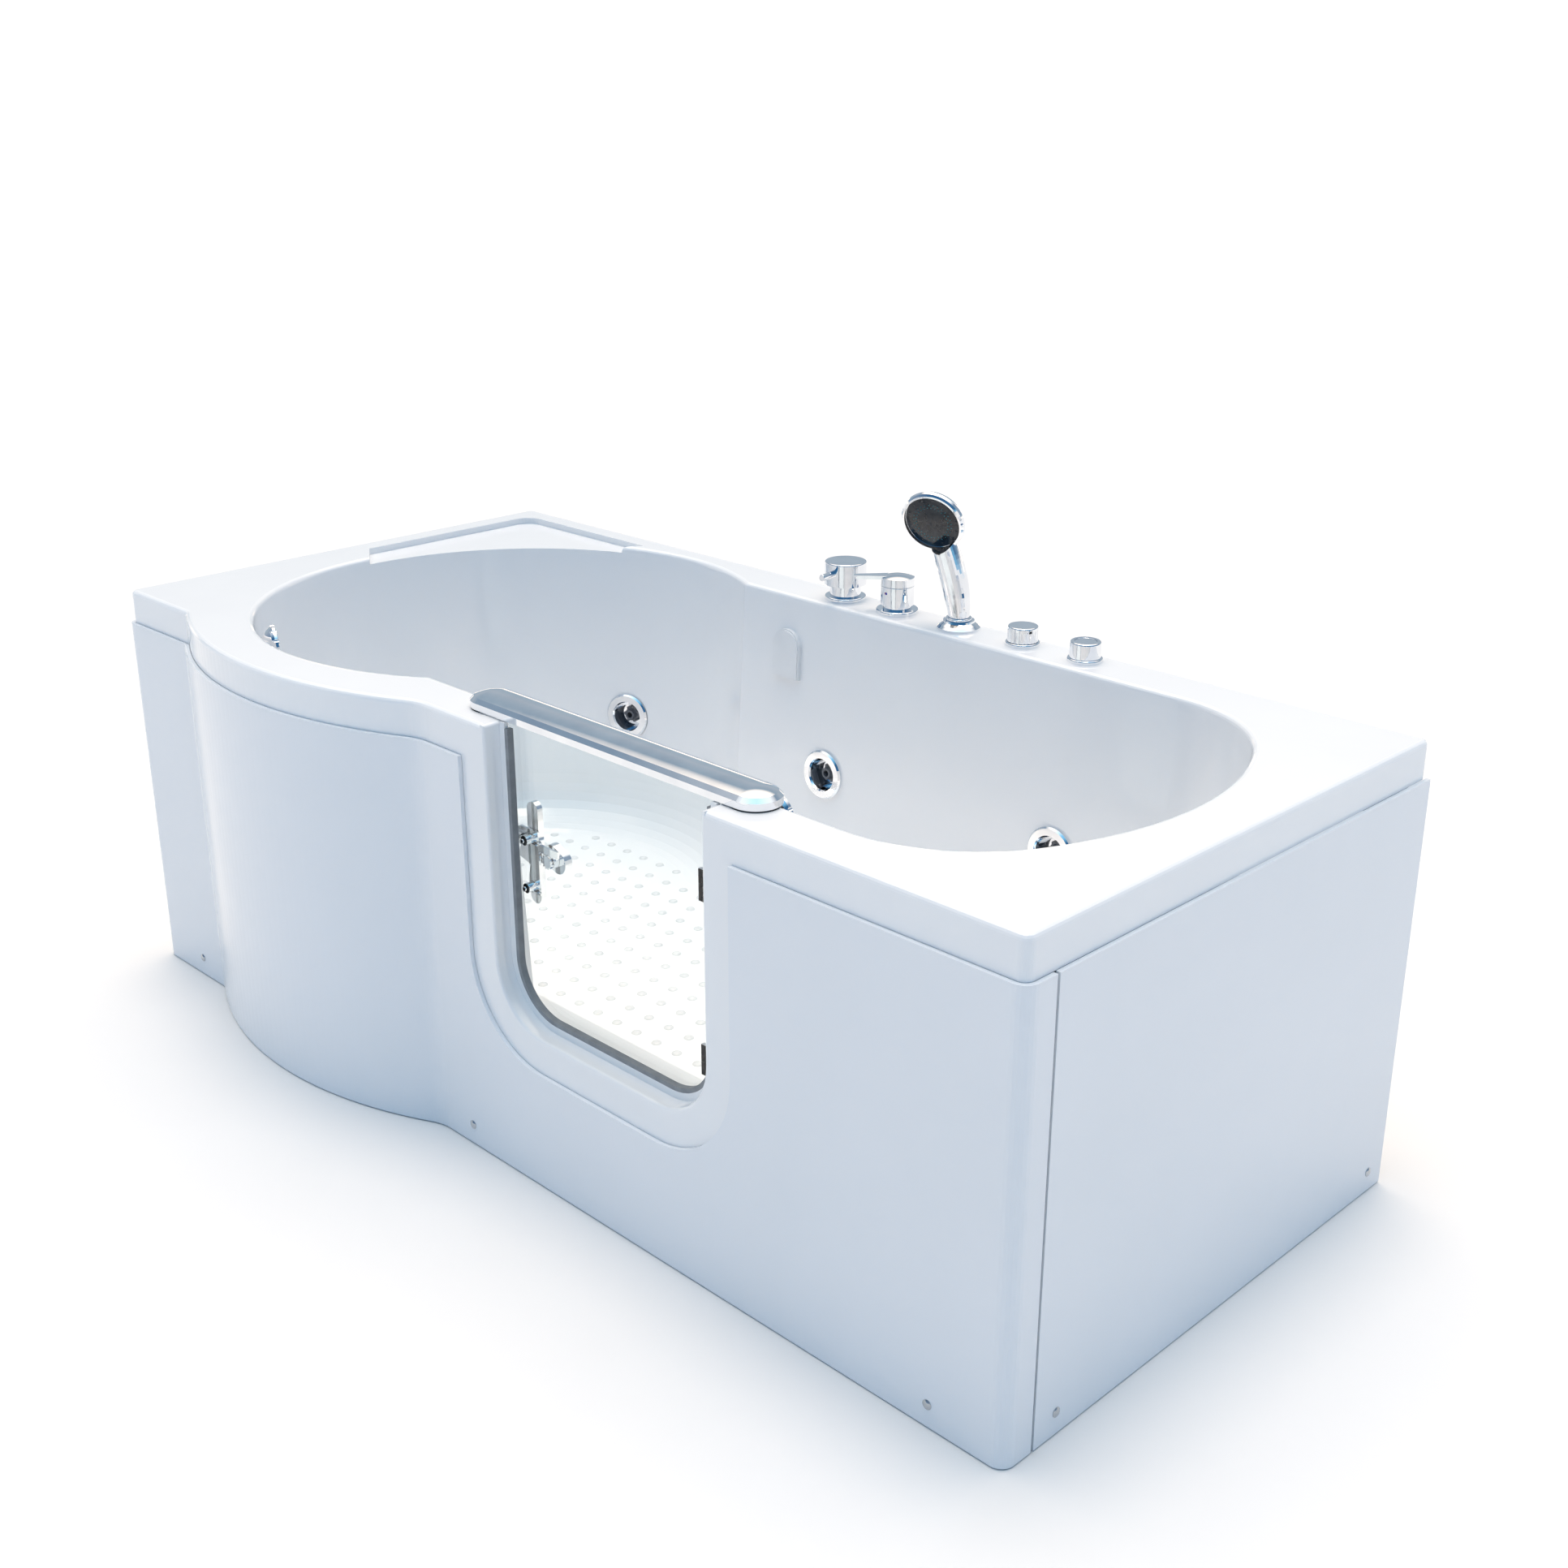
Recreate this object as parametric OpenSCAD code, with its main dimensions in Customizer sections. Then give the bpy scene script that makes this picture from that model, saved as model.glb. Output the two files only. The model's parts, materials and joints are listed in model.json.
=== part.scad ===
// Walk-in bathtub with a glass door: an acrylic massage tub on a steel frame.
// Millimetres, +Z up. The modules work in a corner frame: X runs from the rim's left end,
// Y from the rim's straight front to its back, Z from the floor.
// The last lines move that frame to the middle of the footprint.

/* [Rim and skirt] */
// Length of the rim
tub_len = 1700; // [1600:10:2100]
// Width of the rim at its straight ends
tub_width = 760; // [730:10:920]
// Height of the rim above the floor
rim_h = 602; // [590:2:730]
// Height of the skirt that hangs from the rim
skirt_h = 49; // [40:1:60]
// Thickness of the acrylic shell
shell_t = 6; // [4:0.5:7]
// Radius of the rim's corners in plan
corner_r = 12; // [10:1:20]
// Radius of the rim's upper edges
edge_r = 7; // [3:0.5:9]
// How far the round bulge stands out in front
bulge_reach = 72; // [60:1:80]
// Radius of the bulge
bulge_r = 600; // [560:5:700]
// Radius of the hollow at the bulge's left end
bulge_left_r = 28; // [20:1:60]
// Radius of the hollow at the bulge's right end
bulge_right_r = 80; // [60:1:100]

/* [Basin] */
// Height of the basin's floor
floor_z = 130; // [120:1:160]
// Radius between the basin's floor and walls
floor_fillet = 80; // [60:1:85]
// Slope of the basin's walls in degrees
draft = 3; // [1:0.5:4]
// Rim left of the round part
left_margin = 93; // [80:1:110]
// Rim in front of the straight part
front_margin = 70; // [60:1:80]
// Rim behind the straight part
back_margin = 80; // [70:1:90]
// Rim right of the basin
right_margin = 76; // [70:1:100]
// Rim behind the round part
round_back_margin = 38; // [32:1:50]
// How far the round part reaches past the straight front
round_overhang = 2; // [0:1:10]
// Radius of the basin's right end
end_r = 431; // [400:1:480]
// Radius of the basin's two right corners
basin_corner_r = 193; // [180:1:200]
// Depth of the shelf in the back left corner
shelf_depth = 10; // [6:1:12]

/* [Door] */
// Left edge of the doorway
door_x = 877; // [870:1:900]
// Width of the doorway
door_w = 383; // [330:1:390]
// Height of the doorway's sill
sill_z = 210; // [200:1:240]
// Radius of the doorway's lower corners
door_r = 85; // [60:1:95]
// Depth of the doorway in front of its lip
reveal = 24; // [20:1:30]
// Width of the lip that the seal sits on
lip_w = 10; // [8:1:14]
// Thickness of the glass
glass_t = 8; // [6:1:10]
// Length of the chrome rail on top of the glass
rail_len = 520; // [510:5:540]
// Width of the rail
rail_w = 60; // [50:1:64]

/* [Panels and frame] */
// Thickness of the outer panels
panel_t = 5.6; // [4:0.2:5.8]
// How far the panels stand out from the skirt
panel_proud = 6; // [6:0.5:8]
// Width of the shell that shows between doorway and panel
panel_gap = 47; // [40:1:50]
// Width of the frame's posts and panel rails
post_w = 20; // [16:1:22]
// Width and height of the frame's long rails and crossbars
tube_w = 30; // [25:1:32]

/* [Fittings] */
// Outer radius of a massage jet
jet_r = 37.5; // [34:0.5:40]
// Height of the two jets on the straight back wall
jet_z = 343; // [330:1:380]
// Distance of the deck fittings from the back
deck_back = 37.2; // [34:0.2:38]
// Radius of the threaded tails below the deck
tail_r = 16; // [13:0.5:18]
// Radius of the drain spigots
spigot_r = 20; // [16:1:20]
// Radius of the supply threads on the mixer
supply_r = 10.4; // [9:0.1:11]

/* [Hidden] */
$fn = 96;

// Clearances
seat_gap = 0.3;    // between pieces that rest on each other or slide past
run_gap = 0.05;    // radial, round a pin that turns
cut = 1;           // how far a cutter runs past a face

// Footprint and levels
skirt_z = rim_h - skirt_h;
origin_x = tub_len / 2;
front_y = -bulge_reach - panel_proud;
origin_y = (tub_width + front_y) / 2;
panel_z = 2;

// Bulge: the two hollows touch both the straight front and the bulge
bulge_x = left_margin + (tub_width - round_back_margin + round_overhang) / 2;
bulge_cy = bulge_r - bulge_reach;
function hollow_x(r, side) =
  bulge_x + side * sqrt(pow(bulge_r + r, 2) - pow(bulge_cy + r, 2));
function hollow_angle(r) = atan2(bulge_cy + r, hollow_x(r, 1) - bulge_x);

// Basin plan
round_r = (tub_width - round_back_margin + round_overhang) / 2;
round_x = bulge_x;
round_y = round_r - round_overhang;
back_y = tub_width - back_margin;
mid_y = (front_margin + back_y) / 2;
half_w = (back_y - front_margin) / 2;
end_x = tub_len - right_margin - end_r;
corner_dy = half_w - basin_corner_r;
corner_x = end_x + sqrt(pow(end_r - basin_corner_r, 2) - pow(corner_dy, 2));
end_half_angle = atan2(corner_dy, corner_x - end_x);
fillet_steps = 8;
bulge_steps = 40;
edge_steps = 4;
fillet_z = floor_z + floor_fillet;
function wall_r(reach, grow, z) = reach + grow / cos(draft) - (rim_h - z) * tan(draft);
function fillet_rc(reach) = wall_r(reach, 0, fillet_z) - floor_fillet / cos(draft);

// Shelf
shelf_x = 40;
shelf_y = tub_width - 37;
shelf_front = 397;
shelf_right = 340;
shelf_r = 30;

// Doorway, from front to back
lip_t = shell_t;
seal_w = 6;
seal_y = reveal;
glass_y = reveal + lip_t + 3;
glass_back = glass_y + glass_t;
pocket_y = reveal + lip_t;
pocket_left = door_x - 42;
glass_left = door_x + 2;
glass_right = door_x + door_w - 2;
pocket_right = glass_right + 3;
pocket_z = sill_z - 10;
pocket_depth = 40;
hinge_x = glass_right;
hinge_y = 56;
rail_y = 56;
rail_right = door_x + door_w + 57;
rail_left = rail_right - rail_len;
rail_z = rim_h + 2;
rail_front_h = 8.4;
rail_bevel = 5;
rail_h = 18.5;
glass_top = rail_z + 6;

// Hinges: two, each in its own recess beside the doorway
hinge_z = [pocket_z + 70, skirt_z - 63];
hinge_h = 40;
hinge_pin_r = 5;
hinge_ear = 5;
hinge_knuckle_r = 9;
recess_right = hinge_x + 34;
recess_h = hinge_h + 20;

// Latch, on the left edge of the glass
latch_x = door_x + 20.5;
latch_z = 449;
latch_post_z = [latch_z, latch_z - 64];
latch_travel = 12;
latch_post_r = 6.4;
latch_stem_r = 3;
latch_bar_y = glass_back + 14;
latch_bar_t = 8;
slide_y = latch_bar_y - 4;
slide_t = 3.2;
bolt_r = 5;
latch_shaft_r = 4;
bolt_y = glass_back + 7;
knob_x = latch_x + 30;
knob_z = latch_z - 23;
rack_pitch = 4.8;
pinion_teeth = 12;
pinion_r = rack_pitch * pinion_teeth / 360 * 180 / PI;
tooth_h = 2.6;

// Panels, brackets and frame
panel_in = panel_proud - panel_t;
wrap_y = 39.5;
panel_seam = 4;
screw_r = 2;
post_y0 = 8;
post_y1 = tub_width - 8;
post_x = [28, 748, tub_len - 310, tub_len - 28];
foot_y = [70, tub_width - 70];
foot_h = 14;
foot_stud_r = 5;
bar_z = 49;
long_rail_z = bar_z + tube_w;
rail_end = 18;
board_t = floor_z - shell_t - long_rail_z - tube_w;
panel_rail_z = 20;
front_screws = [108, 812, tub_len - 97];
end_screws = [80, tub_width - 35];
screw_z = 30;

// Deck fittings, along the back
deck_y = tub_width - deck_back;
diverter_x = 792;
mixer_x = 894;
shower_x = 1009;
air_valve_x = 1122;
switch_x = 1226.5;
deck_x = [diverter_x, mixer_x, shower_x, air_valve_x, switch_x];
tail_len = 34;
pin_r = 8;
air_pin_r = 6;
button_r = 15;
mixer_base_h = 12;
mixer_pin_h = 30;
lever_yaw = 217.7;
lever_z = 40;
supply_dx = 17;

// Hand shower: the handle leans forwards from its socket to the head
head_dx = -25;
head_dy = -34;
head_dz = 150;
head_normal = [0.30, -0.89, -0.34];
handle_steps = 18;
ring_points = 36;
side_way = [0.81, -0.59, 0];
head_r = 45.8;
face_r = 40.3;

// Jets, drains and overflow knobs
jet_angle = 110.5;
jet_1_z = 317;
jet_2_x = 804;
jet_3_x = 1230;
cup_r = 26;
cup_depth = 20;
jet_back = -cup_depth - 24;
jet_pipe_r = 13;
pipe_y = mid_y + wall_r(half_w, 0, jet_z) - jet_back - 4;
jet_1_reach = wall_r(round_r, 0, jet_1_z) - jet_back - 14;
jet_1_mid = [round_x + jet_1_reach * cos(jet_angle), round_y + jet_1_reach * sin(jet_angle), jet_1_z];
suction_z = 262;
suction_r = 40;
suction_bore = 26;
suction_x = tub_len - 60;
inlet_x = 720.5;
inlet_z = 513;

// Pump, in the back right corner
pump_y = mid_y + 275;
pump_z = 92;
pump_r = 50;
pump_base_top = 18;
volute_x = tub_len - 125;
volute_r = 58;
volute_w = 38;
outlet_x = volute_x + 20;
outlet_y = pump_y + 34;

// Drains
drain_angle = 248;
drain_left = [round_x + 215 * cos(drain_angle), round_y + 215 * sin(drain_angle)];
knob_right_x = door_x + door_w + 16.5;
drain_right = [knob_right_x, front_margin + 145];
knob_level = rim_h - 29;
drain_r = 35;
drain_bore = 26;
plug_r = 30;
plug_stem_r = 4;
knob_shaft_r = 5;
overflow_r = 15;
overflow_z = 60;
overflow_pipe_r = 10;
trap_r = 40;
trap_top = 92;
trap_bottom = 8;
spigot_y = tub_width - 20;
spigot_z = 26;
spigot_len = 30;

// ---------------------------------------------------------------- helpers

// Extrudes a (Y, Z) outline along X
module along_x(x0, x1) translate([x0, 0, 0]) rotate([90, 0, 90]) linear_extrude(x1 - x0) children();

// Extrudes an (X, Z) outline along Y
module along_y(y0, y1) translate([0, y1, 0]) rotate([90, 0, 0]) linear_extrude(y1 - y0) children();

// A box from its low corner to its high corner
module block(low, high) translate(low) cube(high - low);

// Section of a cutter that rounds an edge: x into the material, y down from the face.
// Its first and last chords run on past the faces, so that they cross them.
module edge_section(r) {
  p = [for (k = [0 : edge_steps]) r * [1 - sin(k * 90 / edge_steps), 1 - cos(k * 90 / edge_steps)]];
  n = edge_steps;
  first = p[0] + (p[0] - p[1]) * cut / (p[1][1] - p[0][1]);
  last = p[n] + (p[n] - p[n - 1]) * cut / (p[n - 1][0] - p[n][0]);
  polygon(concat([[-cut, -cut], first], [for (k = [1 : n - 1]) p[k]], [last]));
}

// A round bar between two points
module rod(a, b, r) {
  d = b - a;
  len = norm(d);
  translate(a) rotate([0, acos(d[2] / len), atan2(d[1], d[0])]) cylinder(r = r, h = len);
}

// A pipe through a list of points, with a round elbow at each bend
module pipe(points, r) {
  for (i = [1 : len(points) - 1]) rod(points[i - 1], points[i], r - 0.4 * (i % 2));
  for (i = [1 : 1 : len(points) - 2]) translate(points[i]) rotate([23, 37, 11]) sphere(1.25 * r);
}

// Puts a piece on a basin wall: its XY plane on the wall, +Z into the basin, +Y up the wall
module on_wall(centre, yaw, reach, z)
  translate(centre) rotate([0, 0, yaw]) translate([0, wall_r(reach, 0, z), z])
    rotate([90 - draft, 0, 0]) children();
module on_back_wall(x, z) on_wall([x, mid_y, 0], 0, half_w, z) children();
module on_front_wall(x, z) on_wall([x, mid_y, 0], 180, half_w, z) children();
module on_round_wall(angle, z) on_wall([round_x, round_y, 0], angle - 90, round_r, z) children();
module on_end_wall(z) on_wall([end_x, mid_y, 0], -90, end_r, z) children();

// The three jets, by number
module at_jet(i) {
  if (i == 1) on_round_wall(jet_angle, jet_1_z) children();
  if (i == 2) on_back_wall(jet_2_x, jet_z) children();
  if (i == 3) on_back_wall(jet_3_x, jet_z) children();
}

// The left drain knob sits on the round wall, the right one beside the doorway
module at_knob(left) {
  if (left) on_round_wall(drain_angle, knob_level) children();
  else on_front_wall(knob_right_x, knob_level) children();
}

// A disc with a rounded upper edge
module button_disc(r, h, e) rotate_extrude() {
  square([r, h - e]);
  square([r - e, h]);
  translate([r - e, h - e]) intersection() { circle(e); square(e); }
}

// ---------------------------------------------------------------- plan outlines

// Points of an arc from angle a0 to a1
function arc(centre, r, a0, a1, steps) = [for (k = [0 : steps])
  let (a = a0 + (a1 - a0) * k / steps) centre + r * [cos(a), sin(a)]];

// Outline of the rim, grown outwards: left corners, hollow, bulge, hollow, right corners
function rim_points(grow) =
  let (left = hollow_angle(bulge_left_r), right = hollow_angle(bulge_right_r), r = corner_r + grow,
    bulge = arc([bulge_x, bulge_cy], bulge_r + grow, 180 + left, 360 - right, bulge_steps))
  concat(
    arc([corner_r, tub_width - corner_r], r, 90, 180, 6),
    arc([corner_r, corner_r], r, 180, 270, 6),
    arc([hollow_x(bulge_left_r, -1), -bulge_left_r], bulge_left_r - grow, 90, left, 5),
    [for (k = [1 : bulge_steps - 1]) bulge[k]],
    arc([hollow_x(bulge_right_r, 1), -bulge_right_r], bulge_right_r - grow, 180 - right, 90, 6),
    arc([tub_len - corner_r, corner_r], r, 270, 360, 6),
    arc([tub_len - corner_r, tub_width - corner_r], r, 0, 90, 6));
module rim_plan(grow) polygon(rim_points(grow));

// Outline of the doorway in (X, Z), drawn in by inset, up to top
module door_plan(inset, top) {
  x0 = door_x + inset;
  x1 = door_x + door_w - inset;
  z0 = sill_z + inset;
  r = door_r - inset;
  translate([x0, z0 + r]) square([x1 - x0, top - z0 - r]);
  translate([x0 + r, z0]) square([x1 - x0 - 2 * r, r + cut]);
  for (x = [x0 + r, x1 - r]) translate([x, z0 + r]) circle(r);
}

// ---------------------------------------------------------------- tub shell

// Points of the basin's section: floor fillet, wall, and as air also the rounded upper edge.
// side is 1 where the wall lies outside the basin's arc centre, -1 where the arc bulges inwards.
function floor_points(rc, r, side) = [for (k = [0 : fillet_steps])
  let (a = k * (90 - draft) / fillet_steps) [rc + side * r * sin(a), fillet_z - r * cos(a)]];
function edge_points(rc, side) = [for (k = [0 : edge_steps])
  let (a = draft + k * (90 - draft) / edge_steps)
  [rc - side * edge_r * cos(a), rim_h - edge_r + edge_r * sin(a)]];

// Half section of the basin, from its middle out to the wall
module basin_section(reach, grow) {
  edge_rc = wall_r(reach, 0, rim_h - edge_r) + edge_r / cos(draft);
  polygon(concat(
    [[0, floor_z - grow]], floor_points(fillet_rc(reach), floor_fillet + grow, 1),
    grow > 0 ? [[wall_r(reach, grow, rim_h), rim_h], [0, rim_h]]
      : concat(edge_points(edge_rc, 1), [[edge_rc, rim_h + cut], [0, rim_h + cut]])));
}

// The line on which an end corner meets the arched end, from the corner's centre outwards
function corner_at(side) = [corner_x, mid_y + side * corner_dy];
function far_at(side) = corner_at(side)
  + (basin_corner_r + 96) * [cos(end_half_angle), side * sin(end_half_angle)];

// The hollow of the basin, grown outwards: the round end, the straight part and the arched end.
// The arched end's pieces share the line's two points, so they meet without a gap.
module basin_form(grow) {
  union() {
    translate([round_x, round_y, 0]) rotate_extrude($fn = 240) basin_section(round_r, grow);
    along_x(round_x, corner_x) translate([mid_y, 0]) {
      basin_section(half_w, grow);
      mirror([1, 0]) basin_section(half_w, grow);
    }
  }
  for (side = [-1, 1]) intersection() {
    translate([corner_x, corner_at(side)[1], 0])
      rotate_extrude(start = side > 0 ? end_half_angle - 20 : -110, angle = 130 - end_half_angle)
        basin_section(basin_corner_r, grow);
    linear_extrude(rim_h + 2 * cut) polygon([
      corner_at(side), far_at(side), [far_at(side)[0], mid_y + side * 400], [corner_x, mid_y + side * 400]]);
  }
  intersection() {
    translate([end_x, mid_y, 0])
      rotate_extrude(start = -end_half_angle - 20, angle = 2 * end_half_angle + 40, $fn = 360)
        basin_section(end_r, grow);
    linear_extrude(rim_h + 2 * cut)
      polygon([[end_x, mid_y], corner_at(-1), far_at(-1), far_at(1), corner_at(1)]);
  }
}

// The shelf in the back left corner
module shelf_form(grow) translate([0, 0, rim_h - shelf_depth - grow])
  linear_extrude(shelf_depth + grow + (grow > 0 ? 0 : cut)) {
    x = shelf_x - grow;
    y = shelf_y + grow;
    r = shelf_r + grow;
    polygon(concat(
      [for (k = [0 : 8]) [x + r - r * cos(k * 90 / 8), y - r + r * sin(k * 90 / 8)]],
      [[shelf_right + grow, y], [shelf_right - 30 + grow, y - 40], [round_x, round_y],
      [x + 60, shelf_front - 40 - 2 * grow], [x, shelf_front - 2 * grow]]));
  }

// The pocket behind the doorway and the two hinge recesses beside it
module pocket_form(grow) {
  top = rim_h + (grow > 0 ? 0 : cut);
  block([pocket_left - grow, pocket_y - grow, pocket_z - grow],
        [pocket_right + grow, front_margin + pocket_depth, top]);
  for (z = hinge_z) block(
    [pocket_right - 2 * cut, pocket_y - grow, z - recess_h / 2 - grow],
    [recess_right + grow, front_margin + pocket_depth, z + recess_h / 2 + grow]);
}

// Rim and skirt as one block with a rounded upper edge, from rings of the rim's outline
module rim_block() {
  rings = concat([[0, skirt_z]], [for (k = [0 : edge_steps]) let (a = k * 90 / edge_steps)
    [edge_r * (cos(a) - 1), rim_h - edge_r + edge_r * sin(a)]]);
  points = [for (ring = rings) each [for (q = rim_points(ring[0])) [q[0], q[1], ring[1]]]];
  n = len(rim_points(0));
  m = len(rings) - 1;
  polyhedron(points, concat(
    [[for (k = [0 : n - 1]) k]],
    [for (i = [0 : m - 1]) for (k = [0 : n - 1])
      [i * n + k, (i + 1) * n + k, (i + 1) * n + (k + 1) % n, i * n + (k + 1) % n]],
    [[for (k = [n - 1 : -1 : 0]) m * n + k]]));
}

// Rounds the doorway's front edge
module door_edge_cutter(e) {
  x0 = door_x;
  x1 = door_x + door_w;
  top = rim_h + cut;
  zc = sill_z + door_r;
  translate([x0, 0, zc]) mirror([1, 0, 0]) linear_extrude(top - zc) edge_section(e);
  translate([x1, 0, zc]) linear_extrude(top - zc) edge_section(e);
  along_x(x0 + door_r, x1 - door_r) translate([0, sill_z]) rotate(-90) edge_section(e);
  for (c = [[x0 + door_r, 180], [x1 - door_r, 270]])
    translate([c[0], 0, zc]) rotate([90, 0, 0]) rotate_extrude(start = c[1], angle = 90)
      translate([door_r, 0]) mirror([0, 1]) edge_section(e);
  // The rim's upper edge over each side of the doorway
  along_y(-cut, pocket_y + cut) translate([x0, rim_h]) rotate(180) edge_section(e);
  along_y(-cut, pocket_y + cut) translate([x1, rim_h]) mirror([0, 1]) edge_section(e);
}

module tub_shell() color("white") difference() {
  plate = panel_gap + 15;
  union() {
    difference() {
      rim_block();
      translate([0, 0, skirt_z - cut]) linear_extrude(skirt_h - shell_t + cut) rim_plan(-shell_t);
    }
    basin_form(shell_t);
    shelf_form(shell_t);
    pocket_form(shell_t);
    along_y(0, pocket_y) door_plan(-shell_t, rim_h);
    block([door_x - plate, 0, sill_z - plate], [door_x + door_w + plate, shell_t, skirt_z]);
  }
  basin_form(0);
  shelf_form(0);
  pocket_form(0);
  along_y(-cut, reveal) door_plan(0, rim_h + cut);
  along_y(reveal - cut, pocket_y + cut) door_plan(lip_w, rim_h + cut);
  door_edge_cutter(4);
  for (x = deck_x) translate([x, deck_y, rim_h - shell_t - cut])
    cylinder(r = tail_r + 1, h = shell_t + 2 * cut);
  for (i = [1 : 3]) at_jet(i) {
    translate([0, 0, -shell_t - 4]) cylinder(r = cup_r + 2.5, h = shell_t + 8);
    cylinder(r = jet_r + 1, h = 12);
  }
  for (left = [true, false]) at_knob(left) {
    translate([0, 0, -shell_t - 4]) cylinder(r = 9, h = shell_t + 8);
    cylinder(r = 16, h = 6);
  }
  on_end_wall(suction_z) {
    translate([0, 0, -shell_t - 4]) cylinder(r = suction_bore, h = shell_t + 8);
    cylinder(r = suction_r + 1, h = 12);
  }
  on_back_wall(inlet_x, inlet_z) translate([0, 0, -shell_t - 4]) cylinder(r = 14, h = shell_t + 8);
  for (p = [drain_left, drain_right]) translate([p[0], p[1], floor_z - shell_t - cut])
    cylinder(r = drain_bore, h = shell_t + 2 * cut);
}

// Board under the basin's floor, which spreads the load to the frame
module base_board() color("burlywood") block(
  [round_x - 150, mid_y - 115, long_rail_z + tube_w],
  [corner_x + 10, mid_y + 165, long_rail_z + tube_w + board_t]);

// ---------------------------------------------------------------- outer panels

module panel_ring() difference() {
  rim_plan(panel_proud);
  rim_plan(panel_in);
}

module front_screw_places()
  for (x = front_screws) translate([x, 0, screw_z]) rotate([90, 0, 0]) children();
module end_screw_places() for (y = end_screws) {
  translate([tub_len, y, screw_z]) rotate([90, 0, 90]) children();
  translate([0, y, screw_z]) rotate([90, 0, -90]) children();
}

module front_panel() color("aliceblue") difference() {
  translate([0, 0, panel_z]) linear_extrude(skirt_z - panel_z) intersection() {
    panel_ring();
    translate([-2 * panel_proud, front_y - cut])
      square([tub_len + 4 * panel_proud, wrap_y - front_y + cut]);
  }
  along_y(-2 * panel_proud, wrap_y - cut) intersection() {
    door_plan(-panel_gap, rim_h);
    translate([door_x - 2 * panel_gap, 0]) square([door_w + 4 * panel_gap, rim_h]);
  }
  front_screw_places() translate([0, 0, -cut]) cylinder(r = screw_r + 0.4, h = panel_proud + 2 * cut);
}

module end_panel(x0, x1) difference() {
  block([x0, wrap_y + panel_seam, panel_z], [x1, tub_width - 2, skirt_z]);
  end_screw_places() translate([0, 0, -cut]) cylinder(r = screw_r + 0.4, h = panel_proud + 2 * cut);
}
module left_panel() color("aliceblue") end_panel(-panel_proud, -panel_in);
module right_panel() color("aliceblue") end_panel(tub_len + panel_in, tub_len + panel_proud);

// Blocks between the frame and the panels, drilled for the screws
module panel_brackets() color("dimgray") {
  low = screw_z - 9;
  high = screw_z + 9;
  half = 14;
  difference() {
    for (x = front_screws) block([x - half, -panel_in, low], [x + half, post_y0, high]);
    front_screw_places() translate([0, 0, -post_y0 + 1])
      cylinder(r = screw_r + run_gap, h = post_y0 + panel_proud);
  }
  difference() {
    for (y = end_screws) {
      block([-panel_in, y - half, low], [post_x[0] - post_w / 2, y + half, high]);
      block([post_x[3] + post_w / 2, y - half, low], [tub_len + panel_in, y + half, high]);
    }
    end_screw_places() translate([0, 0, -12]) cylinder(r = screw_r + run_gap, h = 12 + panel_proud);
  }
  // Clips that hold the panels' upper edges against the posts
  clip_z = skirt_z - 40;
  clip_h = 25;
  for (i = [1, 2]) block(
    [post_x[i] - post_w / 2, -panel_in, clip_z],
    [post_x[i] + post_w / 2, post_y0, clip_z + clip_h]);
  for (y = [120, tub_width - 60]) {
    block([-panel_in, y - half, clip_z], [post_x[0] + post_w / 2, y + half, clip_z + clip_h]);
    block([post_x[3] - post_w / 2, y - half, clip_z], [tub_len + panel_in, y + half, clip_z + clip_h]);
  }
}

// A panel screw with a domed head
module screw() {
  translate([0, 0, panel_proud]) intersection() {
    cylinder(r = 6, h = 2.6);
    translate([0, 0, -7.4]) sphere(10);
  }
  translate([0, 0, -5]) cylinder(r = screw_r, h = panel_proud + 5.5);
}
module panel_screws() color("silver") {
  front_screw_places() screw();
  end_screw_places() screw();
}

// ---------------------------------------------------------------- frame

// Two long tubes under the basin's floor
module frame_long_rails() color("slategray") {
  wall = 2;
  half = tube_w / 2;
  for (y = [mid_y - 100, mid_y + 120]) difference() {
    block([rail_end, y - half, long_rail_z], [tub_len - rail_end, y + half, long_rail_z + tube_w]);
    block([rail_end - cut, y - half + wall, long_rail_z + wall],
          [tub_len - rail_end + cut, y + half - wall, long_rail_z + tube_w - wall]);
  }
}

module frame_crossbars() color("slategray")
  for (x = post_x) block(
    [x - post_w / 2, post_y0 + post_w, bar_z],
    [x + post_w / 2, post_y1 - post_w, long_rail_z]);

module frame_posts() color("slategray")
  for (x = post_x) for (y = [post_y0, post_y1 - post_w])
    block([x - post_w / 2, y, panel_rail_z], [x + post_w / 2, y + post_w, rim_h - shell_t]);

// Rails near the floor that carry the panels' lower edges
module frame_panel_rails() color("slategray") {
  for (i = [0 : 2]) block(
    [post_x[i] + post_w / 2, post_y0, panel_rail_z],
    [post_x[i + 1] - post_w / 2, post_y0 + post_w, panel_rail_z + post_w]);
  for (i = [0, 3]) difference() {
    block([post_x[i] - post_w / 2, post_y0 + post_w, panel_rail_z],
          [post_x[i] + post_w / 2, post_y1 - post_w, panel_rail_z + post_w]);
    for (y = foot_y) translate([post_x[i], y, 0]) cylinder(r = foot_stud_r + seat_gap, h = bar_z);
  }
}

module feet() for (x = post_x) for (y = foot_y) translate([x, y, 0]) children();
module foot_studs() color("silver") feet() {
  translate([0, 0, foot_h - 4]) cylinder(r = foot_stud_r, h = bar_z - foot_h + 4);
  translate([0, 0, bar_z - 8]) cylinder(r = 9, h = 8, $fn = 6);
}
module foot_pads() color("black") feet() difference() {
  rotate_extrude() polygon([[0, 0], [24, 0], [24, 5], [12, foot_h], [0, foot_h]]);
  translate([0, 0, foot_h - 4]) cylinder(r = foot_stud_r, h = foot_h);
}

// ---------------------------------------------------------------- door

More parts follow.
